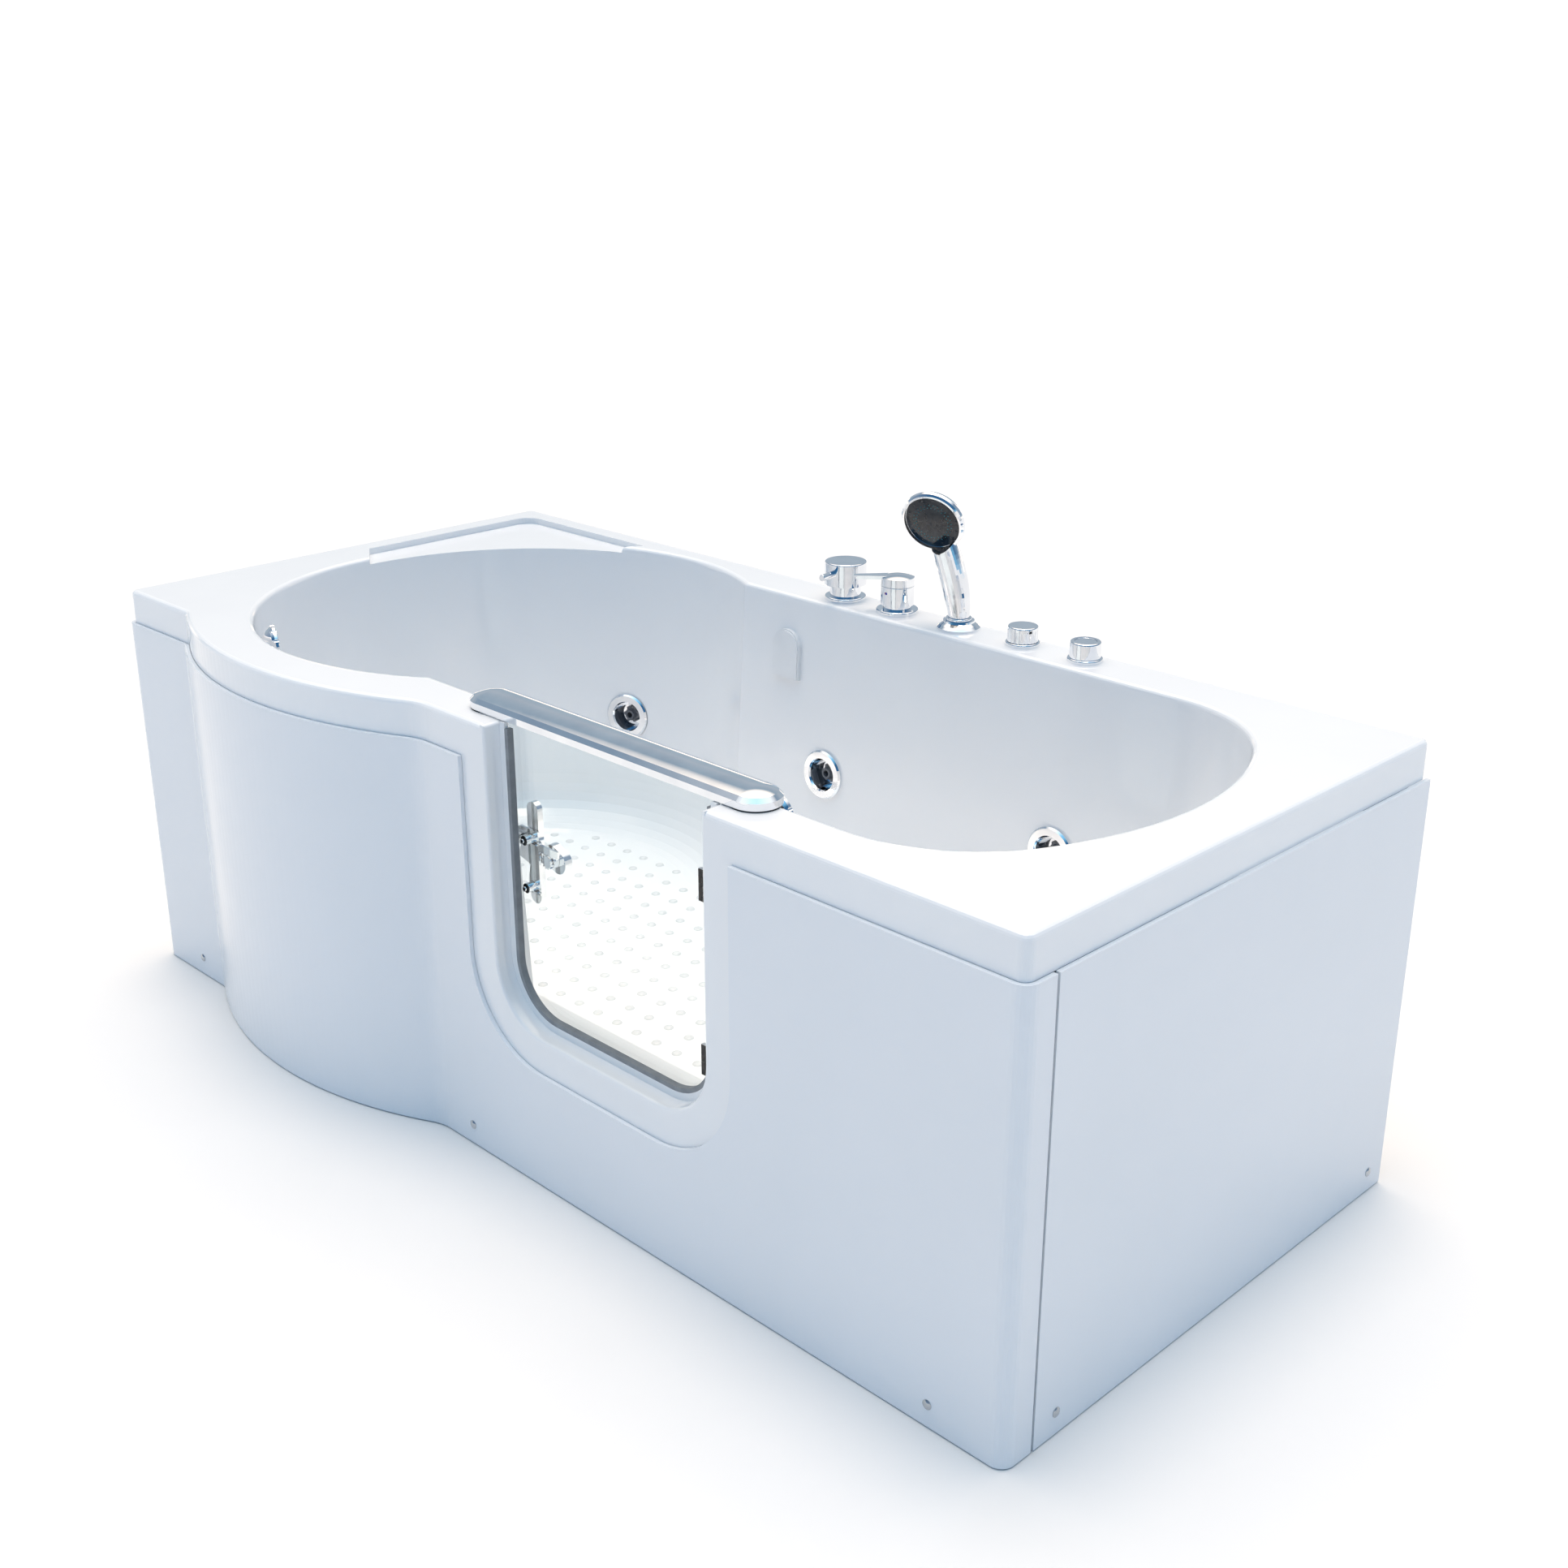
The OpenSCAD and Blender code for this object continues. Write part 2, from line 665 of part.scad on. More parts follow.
// Rubber trim along the lip, against which the glass closes
module door_seal() color("gray") along_y(seal_y, glass_y - seat_gap) difference() {
  door_plan(lip_w, rim_h - edge_r);
  door_plan(lip_w + seal_w, rim_h);
}

// The pane, drilled for the latch's posts
module door_glass() color([0.8, 0.9, 0.92, 0.35]) difference() {
  along_y(glass_y, glass_back) door_plan(glass_left - door_x, glass_top);
  for (z = latch_post_z) translate([latch_x, glass_y - cut, z]) rotate([-90, 0, 0])
    cylinder(r = latch_stem_r + 0.2, h = glass_t + 2 * cut);
}

// Half section of the rail: upright front, bevel and crown
module rail_section() {
  half = rail_w / 2;
  crown_r = (pow(half - rail_bevel, 2) + pow(rail_h - rail_front_h - rail_bevel, 2))
    / (2 * (rail_h - rail_front_h - rail_bevel));
  polygon([[0, 0], [half, 0], [half, rail_front_h], [half - rail_bevel, rail_front_h + rail_bevel],
    [0, rail_front_h + rail_bevel]]);
  intersection() {
    translate([0, rail_h - crown_r]) circle(crown_r, $fn = 360);
    translate([0, rail_front_h + rail_bevel - 0.01]) square([half - rail_bevel, rail_h]);
  }
}
module door_rail() color("silver") difference() {
  union() {
    for (x = [rail_left + rail_w / 2, rail_right - rail_w / 2])
      translate([x, rail_y, rail_z]) rotate_extrude() rail_section();
    along_x(rail_left + rail_w / 2, rail_right - rail_w / 2) translate([rail_y, rail_z]) {
      rail_section();
      mirror([1, 0]) rail_section();
    }
  }
  block([glass_left - 0.2, glass_y - 0.1, rail_z - cut],
        [glass_right + 0.2, glass_back + 0.1, glass_top + 0.2]);
}

// Rubber pads under both ends of the rail
module rail_pads() color("black") translate([0, 0, rim_h]) linear_extrude(rail_z - rim_h - seat_gap)
  difference() {
    for (x = [rail_left + rail_w / 2, rail_right - rail_w / 2]) translate([x, rail_y])
      circle(rail_w / 2 - 0.5);
    translate([0, front_margin - edge_r]) square([tub_len, tub_width]);
    translate([pocket_left - 0.5, 0]) square([pocket_right - pocket_left + 1, tub_width]);
    translate([rail_left + rail_w / 2 + 8, 0]) square([rail_len - rail_w - 38, tub_width]);
  }

// Fixed half of each hinge: a plate on the recess's side and two ears
module hinge_brackets() color("silver") for (z = hinge_z) difference() {
  union() {
    block([recess_right - 4, pocket_y + 4, z - hinge_h / 2 - hinge_ear],
          [recess_right, front_margin, z + hinge_h / 2 + hinge_ear]);
    for (low = [z - hinge_h / 2 - hinge_ear, z + hinge_h / 2]) translate([hinge_x, hinge_y, low])
      linear_extrude(hinge_ear) {
        circle(hinge_knuckle_r);
        translate([0, -hinge_knuckle_r]) square([recess_right - hinge_x, 2 * hinge_knuckle_r]);
      }
  }
  translate([hinge_x, hinge_y, z - hinge_h]) cylinder(r = hinge_pin_r + run_gap, h = 2 * hinge_h);
}
module hinge_pins() color("silver") for (z = hinge_z) translate([hinge_x, hinge_y, 0]) {
  translate([0, 0, z - hinge_h / 2 - hinge_ear - 1])
    cylinder(r = hinge_pin_r, h = hinge_h + 2 * hinge_ear + 1);
  translate([0, 0, z + hinge_h / 2 + hinge_ear + 0.2]) button_disc(hinge_pin_r + 2, 3, 1.5);
  translate([0, 0, z + hinge_h / 2 + hinge_ear - 1]) cylinder(r = hinge_pin_r, h = 2);
}
// Moving half of each hinge: a plate on the glass and a knuckle round the pin
module hinge_leaves() color("silver") for (z = hinge_z) difference() {
  union() {
    translate([0, 0, z - hinge_h / 2 + seat_gap]) linear_extrude(hinge_h - 2 * seat_gap) {
      translate([hinge_x - 44, glass_back]) square([44, 5]);
      translate([hinge_x, hinge_y]) circle(hinge_knuckle_r);
      translate([hinge_x - hinge_knuckle_r, glass_back]) square([hinge_knuckle_r + 4, hinge_y - glass_back]);
    }
    for (dz = [-12, 12]) translate([hinge_x - 32, glass_back + 5, z + dz]) rotate([-90, 0, 0])
      button_disc(5, 2, 1);
  }
  translate([hinge_x, hinge_y, z - hinge_h]) cylinder(r = hinge_pin_r + run_gap, h = 2 * hinge_h);
}

// ---------------------------------------------------------------- latch

// Hollow spacers that carry the latch bar off the glass
module latch_posts() color("silver") for (z = latch_post_z)
  translate([latch_x, 0, z]) rotate([-90, 0, 0]) difference() {
    union() {
      translate([0, 0, glass_back]) cylinder(r = latch_post_r, h = latch_bar_y - glass_back);
      translate([0, 0, glass_y]) cylinder(r = latch_stem_r, h = glass_t + cut);
    }
    translate([0, 0, glass_y - cut]) cylinder(r = latch_stem_r - 1, h = latch_bar_y - glass_y);
  }

// Upright bar with a boss for the knob's shaft
module latch_bar() color("silver") difference() {
  along_y(latch_bar_y, latch_bar_y + latch_bar_t) {
    translate([latch_x - 9.5, 371]) square([21, 115]);
    for (z = [371, 486]) translate([latch_x + 1, z]) circle(10.5);
    translate([knob_x, knob_z]) circle(10);
    translate([latch_x + 5, knob_z - 7]) square([knob_x - latch_x - 5, 14]);
  }
  translate([knob_x, latch_bar_y - cut, knob_z]) rotate([-90, 0, 0])
    cylinder(r = latch_shaft_r + run_gap, h = latch_bar_t + 2 * cut);
}

// Slotted plate with the bolt; the pinion on the knob's shaft drives its rack
module latch_slide() color("silver") {
  rack_z = knob_z + pinion_r;
  along_y(slide_y, slide_y + slide_t) difference() {
    union() {
      polygon([
        [latch_x - 29, latch_z + 7], [latch_x - 29, latch_z - 9], [latch_x - 20, knob_z + 9],
        [latch_x - 25, knob_z - 6], [latch_x - 2, knob_z - 12], [latch_x - 7, latch_post_z[1] + 9],
        [latch_x - 7, latch_post_z[1] - 9], [latch_x + 15, latch_post_z[1] - 9],
        [latch_x + 15, latch_z + 12], [latch_x - 20, latch_z + 12]]);
      translate([latch_x + 5, rack_z + tooth_h / 2]) square([knob_x - latch_x + 17, 9]);
      for (i = [-1 : 4]) translate([knob_x + i * rack_pitch, rack_z + tooth_h / 2])
        polygon([[-1.2, 0.1], [-0.6, 0.4 - tooth_h], [0.6, 0.4 - tooth_h], [1.2, 0.1]]);
    }
    for (z = latch_post_z) {
      for (x = [latch_x, latch_x + latch_travel]) translate([x, z]) circle(latch_post_r + seat_gap);
      translate([latch_x, z - latch_post_r - seat_gap]) square([latch_travel, 2 * (latch_post_r + seat_gap)]);
    }
  }
  translate([latch_x - 37, bolt_y, latch_z]) rotate([0, 90, 0]) cylinder(r = bolt_r, h = 26);
  block([latch_x - 28, bolt_y, latch_z - 4], [latch_x - 12, slide_y + cut, latch_z + 4]);
}

// Oval turning knob, its shaft and its pinion
module latch_knob() color("silver") translate([knob_x, 0, knob_z]) {
  front = latch_bar_y + latch_bar_t + seat_gap;
  rotate([-90, 0, 0]) {
    translate([0, 0, slide_y]) cylinder(r = latch_shaft_r, h = front - slide_y + cut);
    translate([0, 0, slide_y]) linear_extrude(slide_t) {
      circle(pinion_r - tooth_h / 2);
      for (i = [0 : pinion_teeth - 1]) rotate((i + 0.5) * 360 / pinion_teeth - 90)
        translate([0, pinion_r - tooth_h / 2])
          polygon([[-1.2, -0.4], [-0.6, tooth_h - 0.4], [0.6, tooth_h - 0.4], [1.2, -0.4]]);
    }
  }
  translate([0, front, 0]) rotate([-90, 20, 0]) difference() {
    linear_extrude(11) {
      translate([-6, 0]) circle(15.5);
      translate([6, 0]) circle(15.5);
      translate([-6, -15.5]) square([12, 31]);
    }
    translate([0, 0, 11 + 52]) sphere(55);
  }
}

// Keeper on the pocket's left side, which the bolt runs into
module latch_keeper() color("silver") difference() {
  block([pocket_left, pocket_y + 3, latch_z - 14], [latch_x - 41.5, bolt_y + 12, latch_z + 14]);
  translate([pocket_left + 4, bolt_y, latch_z]) rotate([0, 90, 0]) cylinder(r = bolt_r + 0.6, h = 40);
}

// ---------------------------------------------------------------- jets and pump

// Chrome rings, each with a cup that sinks into the wall
module jet_rings() color("silver") for (i = [1 : 3]) at_jet(i) difference() {
  rotate_extrude() polygon([
    [0, -cup_depth - 3], [cup_r, -cup_depth - 3], [cup_r, 0], [jet_r, 0],
    [jet_r, 3.5], [jet_r - 2.5, 6], [0, 6]]);
  rotate_extrude() polygon([
    [0, -cup_depth], [cup_r - 7, -cup_depth], [cup_r - 2, 3], [cup_r, 6 + cut], [0, 6 + cut]]);
  translate([0, 0, -cup_depth - 3 - cut]) cylinder(r = 10, h = 8);
}

// Star-shaped nozzle that turns in its cup
module jet_nozzle() difference() {
  union() {
    translate([0, 0, -cup_depth + seat_gap]) linear_extrude(8) {
      circle(11);
      for (a = [0 : 60 : 300]) rotate(a) translate([11, 0]) circle(3.2, $fn = 32);
    }
    translate([0, 0, -cup_depth + 8]) rotate_extrude() polygon([[0, 0], [10, 0], [8, 7], [0, 7]]);
    translate([0, 0, -cup_depth - 6]) cylinder(r = 10 - run_gap, h = 7);
  }
  translate([0, 0, -cup_depth - 6 - cut]) cylinder(r = 5, h = 30);
}
module jet_nozzle_1() color("dimgray") at_jet(1) jet_nozzle();
module jet_nozzle_2() color("dimgray") at_jet(2) jet_nozzle();
module jet_nozzle_3() color("dimgray") at_jet(3) jet_nozzle();

// Bodies behind the wall, each with a bore along the water's way
module jet_bodies() color("whitesmoke") for (i = [1 : 3]) at_jet(i) difference() {
  union() {
    translate([0, 0, jet_back]) cylinder(r = 24, h = -jet_back - cup_depth - 3);
    difference() {
      translate([0, 0, -cup_depth - 4]) cylinder(r = cup_r + 7, h = cup_depth + 4 - shell_t - 2.4);
      translate([0, 0, -cup_depth - 3]) cylinder(r = cup_r + 0.2, h = cup_depth + 4);
    }
  }
  translate([0, 0, -cup_depth - 10]) cylinder(r = 11, h = 20);
}

// Pipe from the pump up and along the back to the jets
module jet_pipes() color("whitesmoke") difference() {
  y_back = tub_width - 24;
  pipe([
    [outlet_x, outlet_y, pump_z + 75.1], [outlet_x, outlet_y, pump_z + 95],
    [outlet_x, pipe_y, pump_z + 125],
    [outlet_x, pipe_y, jet_z], [jet_1_mid[0] + 320, pipe_y, jet_z], [jet_1_mid[0] + 270, y_back, jet_1_z],
    [jet_1_mid[0] + 60, y_back, jet_1_z], jet_1_mid], jet_pipe_r);
  for (i = [1 : 3]) at_jet(i) {
    translate([0, 0, jet_back - 0.2]) cylinder(r = 24.2, h = 40);
    translate([0, 0, -cup_depth - 4.2]) cylinder(r = cup_r + 7.2, h = 40);
  }
}
// Motor with cooling ribs and two saddles
module pump_motor() color("dimgray") {
  motor_len = 135;
  x0 = volute_x - motor_len;
  translate([x0, pump_y, pump_z]) rotate([0, 90, 0]) {
    cylinder(r = pump_r, h = motor_len);
    for (a = [120 : 15 : 240]) rotate([0, 0, a]) translate([pump_r - 1, -1.5, 12]) cube([5, 3, 105]);
  }
  for (x = [x0 + 20, x0 + 95]) block([x, pump_y - 40, pump_base_top], [x + 18, pump_y + 40, pump_z - 20]);
}
module pump_volute() color("black") {
  translate([volute_x, pump_y, pump_z]) rotate([0, 90, 0]) {
    cylinder(r = volute_r, h = volute_w);
    cylinder(r = 22, h = volute_w + 5);
  }
  translate([outlet_x, outlet_y, pump_z]) cylinder(r = jet_pipe_r + 5, h = 75);
}
module pump_base() color("black") {
  block([volute_x - 125, pump_y - 50, pump_base_top - 4], [volute_x - 10, pump_y + 50, pump_base_top]);
  for (x = [volute_x - 110, volute_x - 25]) for (y = [pump_y - 36, pump_y + 36])
    translate([x, y, 0]) cylinder(r = 11, h = pump_base_top - 4);
}

// Slotted cover over the suction
module suction_cover() color("silver") on_end_wall(suction_z) difference() {
  rotate_extrude() polygon([[0, 0], [suction_r, 0], [suction_r, 3], [suction_r - 5, 8], [0, 9]]);
  for (a = [0 : 30 : 330]) rotate([0, 0, a]) translate([12, -1.6, -cut]) cube([20, 3.2, 12]);
  translate([0, 0, -cut]) cylinder(r = 10, h = 5);
}
module suction_body() color("whitesmoke") on_end_wall(suction_z) difference() {
  union() {
    translate([0, 0, -shell_t - 26]) cylinder(r = 34, h = 23.5);
    translate([0, 0, -shell_t - 26]) cylinder(r = suction_bore - 0.5, h = shell_t + 26);
  }
  translate([0, 0, -shell_t - 22]) cylinder(r = 20, h = 40);
}
module suction_pipe() color("whitesmoke") difference() {
  run_z = long_rail_z + tube_w + 32;
  pipe([[suction_x - 12, mid_y, suction_z], [suction_x, mid_y, suction_z - 2], [suction_x, mid_y, run_z],
    [suction_x, pump_y, run_z], [suction_x, pump_y, pump_z],
    [volute_x + volute_w + 5, pump_y, pump_z]], jet_pipe_r + 3);
  on_end_wall(suction_z) translate([0, 0, -shell_t - 26.1]) cylinder(r = 34.2, h = 60);
  translate([volute_x, pump_y, pump_z]) rotate([0, 90, 0]) cylinder(r = 30, h = volute_w + 5);
}

// Cover over the water inlet: an arch with a bevelled edge
module inlet_cover() color("white") on_back_wall(inlet_x, inlet_z) difference() {
  union() {
    linear_extrude(6) arch(0, 0);
    translate([0, 0, 6]) linear_extrude(2) arch(2, 0);
  }
  translate([0, 0, -cut]) linear_extrude(6) arch(4, cut);
}
// Outline of that arch, drawn in by inset and let down by drop
module arch(inset, drop) {
  r = 27.3 - inset;
  low = -37 - drop;
  high = 10;
  translate([0, high]) circle(r);
  translate([-r, low]) square([2 * r, high - low]);
}

// ---------------------------------------------------------------- drains

// Fluted knob with its shaft through the wall
module drain_knob() {
  difference() {
    rotate_extrude() polygon([
      [0, seat_gap], [14, seat_gap], [16, 6], [27, 17], [29.5, 21], [29.5, 25], [28.5, 26], [0, 26]]);
    for (a = [0 : 30 : 330]) rotate([0, 0, a]) translate([31.5, 0, 16]) cylinder(r = 3, h = 20, $fn = 32);
  }
  translate([0, 0, -shell_t - 4]) cylinder(r = knob_shaft_r, h = shell_t + 8);
}
module drain_knob_left() color("silver") at_knob(true) drain_knob();
module drain_knob_right() color("silver") at_knob(false) drain_knob();

// Bodies behind the knobs; the right one has a flat beside the doorway's pocket
module overflow_bodies() color("black") difference() {
  for (left = [true, false]) at_knob(left) difference() {
    union() {
      translate([0, 0, -shell_t - 22]) cylinder(r = overflow_r, h = 21.6);
      translate([0, 0, -shell_t - 1]) cylinder(r = 8.5, h = shell_t + 1);
    }
    translate([0, 0, -shell_t - 14]) cylinder(r = knob_shaft_r + run_gap, h = 30);
  }
  block([door_x, 0, skirt_z - 20], [pocket_right + shell_t + seat_gap, front_margin - 2, rim_h]);
}

function knob_out(left, d) = left
  ? [round_x + (round_r + d) * cos(drain_angle), round_y + (round_r + d) * sin(drain_angle)]
  : [knob_right_x, front_margin - d];
module overflow_pipes() color("black") difference() {
  union() {
    a = knob_out(true, shell_t + 14);
    pipe([[a[0], a[1], knob_level - 6], [a[0], a[1], overflow_z],
      [drain_left[0], drain_left[1], overflow_z - 3]], overflow_pipe_r);
    b = knob_out(false, shell_t + 14);
    x = b[0] + 44;
    y = b[1] + 1;
    pipe([[b[0], b[1], knob_level - 4], [x, y, knob_level - 8], [x, y, overflow_z],
      [drain_right[0], drain_right[1], overflow_z - 3]], overflow_pipe_r);
  }
  for (left = [true, false]) at_knob(left) translate([0, 0, -shell_t - 22.2])
    cylinder(r = overflow_r + 0.2, h = 40);
  for (p = [drain_left, drain_right]) translate([p[0], p[1], 0]) cylinder(r = trap_r + 0.2, h = 100);
}

// Flanges in the basin's floor, each with a spider that guides the plug's stem
module drain_flanges() color("silver")
  for (p = [drain_left, drain_right]) translate([p[0], p[1], 0]) difference() {
    union() {
      translate([0, 0, floor_z]) rotate_extrude()
        polygon([[0, 0], [drain_r, 0], [drain_r, 1], [drain_r - 3, 3], [0, 3]]);
      translate([0, 0, trap_top]) cylinder(r = drain_bore - 0.6, h = floor_z - trap_top);
    }
    translate([0, 0, trap_top + 6]) cylinder(r = drain_bore - 3, h = 50);
    for (a = [0 : 60 : 300]) rotate([0, 0, a]) translate([14, 0, trap_top - cut])
      cylinder(r = 5, h = 10, $fn = 32);
    translate([0, 0, trap_top - cut]) cylinder(r = plug_stem_r + run_gap, h = 12);
  }
// Pop-up plug: a domed cap on a stem
module drain_plug() {
  translate([0, 0, floor_z + 3 + seat_gap]) rotate_extrude()
    polygon([[0, 0], [plug_r, 0], [plug_r, 2], [plug_r - 6, 5], [0, 6]]);
  translate([0, 0, trap_top - 18]) cylinder(r = plug_stem_r, h = floor_z - trap_top + 22);
}
module drain_plug_left() color("silver") translate([drain_left[0], drain_left[1], 0]) drain_plug();
module drain_plug_right() color("silver") translate([drain_right[0], drain_right[1], 0]) drain_plug();
// Low traps under the floor with spigots towards the back
module drain_traps() color("whitesmoke") for (p = [drain_left, drain_right]) difference() {
  union() {
    translate([p[0], p[1], trap_bottom]) cylinder(r = trap_r, h = trap_top - trap_bottom);
    translate([p[0], spigot_y, spigot_z]) rotate([90, 0, 0]) {
      cylinder(r = spigot_r, h = spigot_len);
      cylinder(r = spigot_r - 2, h = spigot_y - p[1]);
    }
  }
  translate([p[0], p[1], trap_bottom + 6]) cylinder(r = trap_r - 5, h = trap_top - trap_bottom - 12);
  translate([p[0], p[1], trap_bottom + 6]) cylinder(r = 20, h = trap_top);
  translate([p[0], spigot_y + cut, spigot_z]) rotate([90, 0, 0])
    cylinder(r = spigot_r - 4.5, h = spigot_y - p[1]);
}

// ---------------------------------------------------------------- deck fittings

module on_deck(x) translate([x, deck_y, rim_h]) children();
// Flange on the deck with its threaded tail below
module deck_flange(r, h) {
  button_disc(r, h, 2);
  translate([0, 0, -tail_len]) cylinder(r = tail_r, h = tail_len + cut);
}

module deck_nuts() color("goldenrod")
  for (x = deck_x) on_deck(x) translate([0, 0, -shell_t - 8.2]) difference() {
    cylinder(r = 25, h = 8, $fn = 6);
    translate([0, 0, -cut]) cylinder(r = tail_r + 0.2, h = 12);
  }

module diverter_base() color("silver") on_deck(diverter_x) {
  deck_flange(30.8, 6);
  cylinder(r = 23, h = 23);
  cylinder(r = pin_r, h = 40);
}
// Knob with a stub that marks its position
module diverter_knob() color("silver") on_deck(diverter_x) {
  difference() {
    translate([0, 0, 23 + seat_gap]) button_disc(31, 33.9, 2);
    translate([0, 0, 20]) cylinder(r = pin_r + run_gap, h = 21);
  }
  rotate([0, 0, 8]) translate([0, -29, 43]) rotate([90, 0, 0]) button_disc(5, 31, 1);
}

module mixer_base() color("silver") on_deck(mixer_x) {
  deck_flange(30.8, 6);
  cylinder(r = 21, h = mixer_base_h);
  cylinder(r = pin_r, h = mixer_pin_h);
  // Valve body below the deck with its two supply threads
  translate([0, 0, -tail_len - 40]) difference() {
    union() {
      cylinder(r = 22, h = 40);
      for (x = [-supply_dx, supply_dx]) translate([x, 0, -18]) cylinder(r = supply_r, h = 20);
      for (x = [-supply_dx, supply_dx]) translate([x, 0, -2]) cylinder(r = 13, h = 12);
    }
    for (x = [-supply_dx, supply_dx]) translate([x, 0, -19]) cylinder(r = supply_r - 3.4, h = 30);
  }
}
// Turning drum on the mixer's pin
module mixer_swivel() color("silver") on_deck(mixer_x) {
  low = mixer_base_h + seat_gap;
  difference() {
    translate([0, 0, low]) {
      button_disc(24, lever_z - low, 0.8);
      cylinder(r = 9, h = lever_z + 5 - low);
    }
    cylinder(r = pin_r + run_gap, h = mixer_pin_h + 1);
  }
}
// Domed cap that runs out into a flat lever
module mixer_lever() color("silver") on_deck(mixer_x) rotate([0, 0, lever_yaw])
  translate([0, 0, lever_z + seat_gap]) difference() {
    union() {
      rotate_extrude() intersection() {
        translate([0, -48.6]) circle(65, $fn = 240);
        square([24, 30]);
      }
      hull() {
        translate([4, 0, 9]) cylinder(r = 11, h = 5.5, $fn = 48);
        translate([57, 0, 8]) cylinder(r = 6.5, h = 4.5, $fn = 48);
      }
    }
    translate([0, 0, -cut]) cylinder(r = 15, h = 8);
  }

// Holder on the deck, and the socket that turns in it
module shower_holder() color("silver") on_deck(shower_x) difference() {
  union() {
    rotate_extrude() polygon([[0, 0], [30.5, 0], [30.5, 2.5], [27, 6], [22.5, 9.5], [22, 12], [0, 12]]);
    translate([0, 0, -tail_len]) cylinder(r = tail_r, h = tail_len + cut);
  }
  translate([0, 0, 2]) cylinder(r = 20 + run_gap, h = 20);
  translate([0, 0, -tail_len - cut]) cylinder(r = 12.4, h = tail_len + 10);
}
module shower_socket() color("silver") on_deck(shower_x) difference() {
  union() {
    translate([0, 0, 2 + seat_gap]) cylinder(r = 20, h = 9.7);
    translate([0, 0, 12]) button_disc(18.5, 4, 1.5);
    translate([0, 0, -20]) cylinder(r = 12.3, h = 24);
  }
  translate([0, 0, 4]) cylinder(r = 15.1, h = 20);
  translate([0, 0, -21]) cylinder(r = 8, h = 30);
}

// Handle centre line: upright in the socket, then curving forwards to the head
function handle_point(t) = [
  head_dx * 0.92 * pow(t, 1.5), (head_dy + 14) * pow(t, 1.6), 16 + (head_dz - 28) * t];
function handle_r(t) = 15 + 4.6 * sin(90 * min(1, t * 1.9)) - 1.5 * pow(t, 3);
module head_frame() translate([head_dx, head_dy, head_dz])
  rotate([0, acos(head_normal[2] / norm(head_normal)), atan2(head_normal[1], head_normal[0])]) children();
// Skin of the handle: rings round the centre line
function unit(v) = v / norm(v);
function ring(t) =
  let (way = unit(handle_point(t + 0.01) - handle_point(t - 0.01)),
    u = unit(cross(side_way, way)), v = cross(way, u))
  [for (k = [0 : ring_points - 1]) handle_point(t) + handle_r(t)
    * (cos(k * 360 / ring_points) * u + sin(k * 360 / ring_points) * v)];
module handle() {
  n = ring_points;
  m = handle_steps;
  points = [for (i = [0 : m]) each ring(0.02 + 0.98 * i / m)];
  polyhedron(points, concat(
    [[for (k = [0 : n - 1]) k]],
    [for (i = [0 : m - 1]) for (k = [0 : n - 1])
      [i * n + k, (i + 1) * n + k, (i + 1) * n + (k + 1) % n, i * n + (k + 1) % n]],
    [[for (k = [n - 1 : -1 : 0]) m * n + k]]));
}
module hand_shower() color("silver") on_deck(shower_x) difference() {
  union() {
    translate([0, 0, 4 + seat_gap]) cylinder(r = 15, h = 15);
    handle();
    head_frame() rotate_extrude() polygon([
      [0, -30], [22, -28], [36, -21], [43, -12], [head_r - 1.5, -9], [head_r, -6], [head_r - 0.5, -1],
      [head_r - 3, 1.5], [face_r, 2], [0, 2]]);
  }
  head_frame() translate([0, 0, -4]) cylinder(r = face_r, h = 20);
}
// Slightly domed spray face
module spray_face() color([0.1, 0.12, 0.15]) on_deck(shower_x) head_frame() translate([0, 0, -4])
  rotate_extrude() intersection() {
    translate([0, -160]) circle(165, $fn = 240);
    square([face_r - 0.3, 6]);
  }

module air_valve_base() color("silver") on_deck(air_valve_x) {
  deck_flange(24, 5);
  cylinder(r = air_pin_r, h = 18);
}
// Fluted knob
module air_valve_knob() color("silver") on_deck(air_valve_x) difference() {
  translate([0, 0, 5 + seat_gap]) button_disc(21, 21.5, 2);
  for (a = [0 : 15 : 345]) rotate([0, 0, a]) translate([22.6, 0, 4])
    cylinder(r = 2.2, h = 18, $fn = 32);
  translate([0, 0, 4]) cylinder(r = air_pin_r + run_gap, h = 15);
}

module switch_base() color("silver") on_deck(switch_x) difference() {
  union() {
    deck_flange(24, 5);
    button_disc(21, 27.2, 2.5);
  }
  translate([0, 0, 12]) cylinder(r = button_r + run_gap, h = 20);
}
module switch_button() color("silver") on_deck(switch_x)
  translate([0, 0, 16]) button_disc(button_r, 10.4, 1);

// ---------------------------------------------------------------- drawing

// From the corner frame to the middle of the footprint
module placed() translate([-origin_x, -origin_y, 0]) children();

placed() tub_shell();
placed() base_board();
placed() front_panel();
placed() left_panel();
placed() right_panel();
placed() panel_brackets();
placed() panel_screws();
placed() frame_long_rails();
placed() frame_crossbars();
placed() frame_posts();
placed() frame_panel_rails();
placed() foot_studs();
placed() foot_pads();
placed() door_seal();
placed() door_glass();
placed() door_rail();
placed() rail_pads();
placed() hinge_brackets();
placed() hinge_pins();
placed() hinge_leaves();
placed() latch_posts();
placed() latch_bar();
placed() latch_slide();
placed() latch_knob();
placed() latch_keeper();
placed() jet_rings();
placed() jet_nozzle_1();
placed() jet_nozzle_2();
placed() jet_nozzle_3();
placed() jet_bodies();
placed() jet_pipes();
placed() pump_motor();
placed() pump_volute();
placed() pump_base();
placed() suction_cover();
placed() suction_body();
placed() suction_pipe();
placed() inlet_cover();
placed() overflow_bodies();
placed() overflow_pipes();
placed() drain_knob_left();
placed() drain_knob_right();
placed() drain_flanges();
